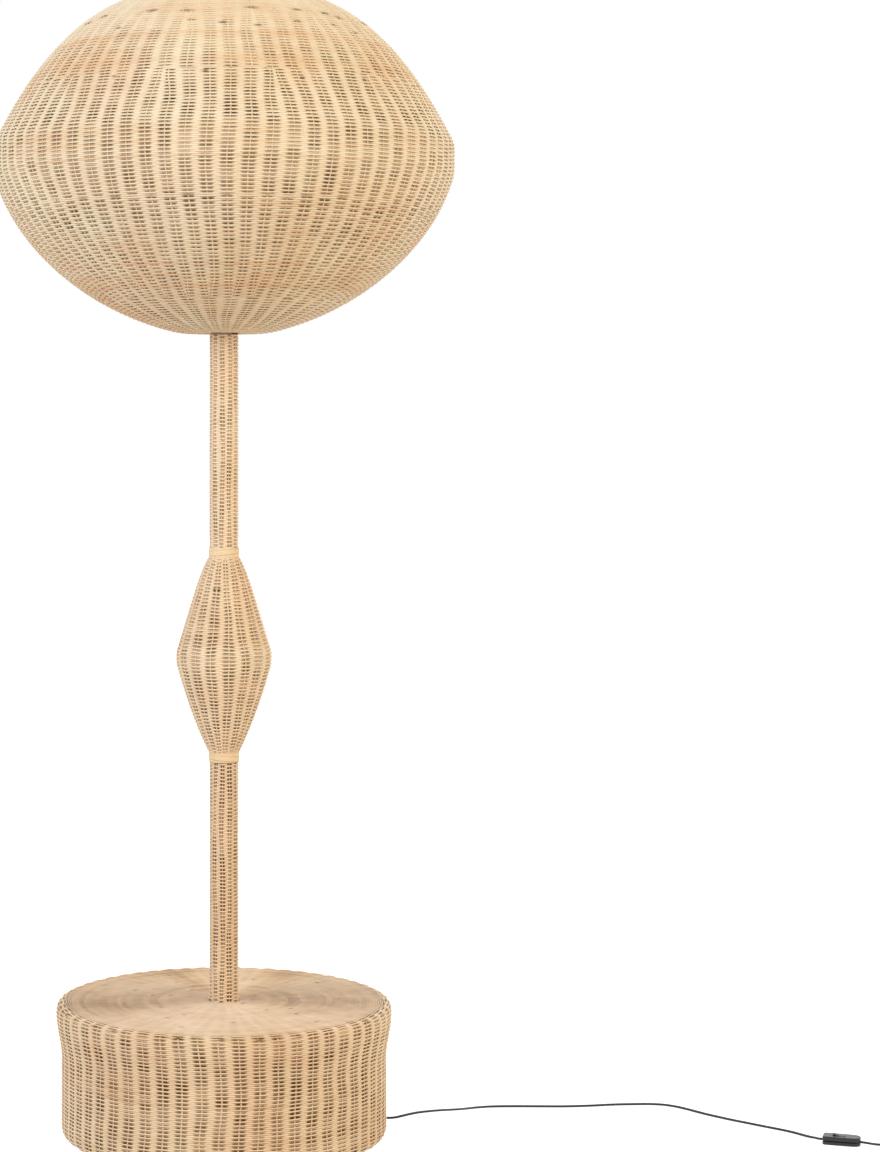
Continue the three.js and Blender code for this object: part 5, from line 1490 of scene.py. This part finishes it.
    def _inside(self, finishes: Finishes) -> None:
        """The stretch inside the base and up the tube, along a curve in the upright plane of the exit.

        Args:
            finishes: The lamp's finishes.
        """
        cos, sin = math.cos(self.exit_turn), math.sin(self.exit_turn)
        top = float(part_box("inner_cord")[1][2]) / MM
        route = to_array([(out * cos, out * sin, level) for out, level in (*self.inside, (0, top))])
        line = smooth_route(route, 4.0)
        line = line[thinned(line)]
        wide = np.tile([-sin, cos, 0.0], (len(line), 1))
        tube = self._tube(line, wide, directions(line))
        dress(tube.build("hidden_cord"), finishes.flex, "black_plastic", "inner_cord")

    def _tube(self, line: np.ndarray, wide: np.ndarray, along: np.ndarray) -> MeshParts:
        """The cord's skin: two round cores side by side, joined by a thin web.

        Args:
            line: Its middle line in millimetres.
            wide: Direction of its width at each point.
            along: Its own direction there.

        Returns:
            The arrays.
        """
        quarter = to_array([(0.16, 0.72), (0.3, 0.93), (0.5, 1.0), (0.72, 0.92), (0.9, 0.66), (1.0, 0.25)])
        half = np.concatenate([quarter, quarter[::-1] * [1, -1]])
        section = np.concatenate([half, half[::-1] * [-1, 1]])
        half_wide, half_thick = (np.full(len(line), size / 2 * MM) for size in (self.width, self.thick))
        return TubePath(line * MM, wide, np.cross(along, wide), half_wide, half_thick).parts(section)


# Carried-over pieces

def dress_nodes(finishes: Finishes) -> None:
    """Gives every CAD node that stays in view its finish.

    Args:
        finishes: The lamp's finishes.
    """
    by_finish = {
        finishes.steel: ("board_screw_", "flange_bolt_", "pole_tube", "pole_top_bush", "fitter_",
                         "switch_screw_", "rocker_pin"),
        finishes.black_steel: ("base_frame", "bulge_frame", "shade_frame", "pole_flange"),
        finishes.iron: ("ballast_disc",),
        finishes.plywood: ("bottom_board",),
        finishes.rubber: ("foot_pad_", "cord_bushing", "coil_tie"),
        finishes.plastic: ("holder_cap", "holder_shell", "inner_cord", "plug_body", "switch_"),
        finishes.brass: ("threaded_nipple", "screw_sleeve", "centre_contact", "bulb_cap", "plug_pin_"),
        finishes.ceramic: ("holder_insulator",),
        finishes.glass: ("bulb_glass",),
        finishes.cane: ("base_weave", "column_weave", "bulge_weave", "shade_weave", "shade_dome_weave"),
        finishes.skin: ("bulge_binding", "shade_border"),
    }
    for name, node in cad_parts.items():
        for material, starts in by_finish.items():
            if name.startswith(starts):
                for place in node.material_slots:
                    place.material = material
                break
        else:
            node.material_slots[0].material = finishes.plastic


# Studio

@dataclass
class Studio:
    """Camera, pale floor and soft lights."""

    distance: float = 3.456
    eye: float = 0.910
    lens: float = 82.6
    sensor: float = 36.0
    farthest: float = 60.0
    shift: tuple[float, float] = (0.1875, -0.1224)
    world: float = 0.62
    sky: tuple[float, float, float, float] = (1.0, 0.985, 0.96, 1.0)
    floor_tint: tuple[float, float, float, float] = (0.65, 0.605, 0.57, 1.0)
    floor_glow: float = 0.8
    floor_half: float = 20.0
    target: tuple[float, float, float] = (0.0, 0.0, 1.0)

    def build(self) -> None:
        """Sets up the view, the floor, the world and the lamps."""
        bpy.context.scene.view_settings.view_transform = "Standard"
        self._camera()
        self._floor()
        self._world()
        self._lamp("key", (-2.9, -2.3, 2.1), size=2.4, power=90, tint=(0.83, 0.9, 1.0))
        self._lamp("fill", (2.6, -2.4, 1.9), size=2.4, power=66, tint=(1.0, 0.885, 0.71))
        self._lamp("back", (0.6, 2.8, 2.0), size=2.0, power=26, tint=(1.0, 1.0, 1.0))

    def _camera(self) -> None:
        """A level camera in front of the lamp, shifted to frame it as the photograph does."""
        data = bpy.data.cameras.new("camera")
        data.lens, data.sensor_width = self.lens, self.sensor
        data.shift_x, data.shift_y = self.shift
        data.clip_end = self.farthest
        camera = bpy.data.objects.new("camera", data)
        camera.location = (0, -self.distance, self.eye)
        camera.rotation_euler = (math.pi / 2, 0, 0)
        bpy.context.scene.collection.objects.link(camera)
        bpy.context.scene.camera = camera

    def _floor(self) -> None:
        """A wide plain floor: a warm mid-tone to light, with a glow that turns it white to the camera."""
        mesh = bpy.data.meshes.new("floor")
        far = self.floor_half
        mesh.from_pydata([(-far, -far, 0), (far, -far, 0), (far, far, 0), (-far, far, 0)], [], [(0, 1, 2, 3)])
        floor = bpy.data.objects.new("floor", mesh)
        bpy.context.scene.collection.objects.link(floor)
        material, draw, shader = blank_material("Studio floor")
        glow = draw.maths("MULTIPLY", draw.seen(), self.floor_glow)
        draw.fill(shader, {"Base Color": self.floor_tint, "Roughness": 0.9, "Specular IOR Level": 0.1,
                           "Emission Color": (1, 1, 1, 1), "Emission Strength": glow})
        mesh.materials.append(material)

    def _world(self) -> None:
        """The surround: full white where the camera sees it, warmer and weaker as a light."""
        world = bpy.data.worlds.new("studio")
        bpy.context.scene.world = world
        world.use_nodes = True
        world.node_tree.nodes.clear()
        draw = Canvas(world.node_tree)
        seen = draw.seen()
        strength = draw.maths("ADD", draw.maths("MULTIPLY", seen, 1 - self.world), self.world)
        tint = draw.blend(seen, self.sky, (1, 1, 1, 1))
        light = draw.add("ShaderNodeBackground", {"Color": tint, "Strength": strength})
        draw.add("ShaderNodeOutputWorld", {"Surface": light.outputs[0]})

    def _lamp(self, name: str, place: Sequence[float], size: float, power: float,
              tint: tuple[float, float, float]) -> None:
        """A square soft lamp that looks at the target.

        Args:
            name: The lamp's name.
            place: Where it stands.
            size: Length of its sides.
            power: Watts.
            tint: Colour of its light.
        """
        data = bpy.data.lights.new(name, "AREA")
        data.size, data.energy, data.color = size, power, tint
        lamp = bpy.data.objects.new(name, data)
        lamp.location = place
        x, y, z = to_array(self.target) - to_array(place)
        lamp.rotation_euler = (math.atan2(math.hypot(x, y), -z), 0, math.atan2(-x, y))
        bpy.context.scene.collection.objects.link(lamp)


def main() -> None:
    """Builds the lamp's looks in order."""
    logging.basicConfig(level=logging.INFO, format="%(name)s %(message)s")
    Studio().build()
    finishes = Finishes()
    dress_nodes(finishes)
    Cord().build(finishes)
    Column().build(finishes)
    Bulge().build(finishes)
    Base().build(finishes)
    Shade().build(finishes)


if __name__ == "__main__":
    main()
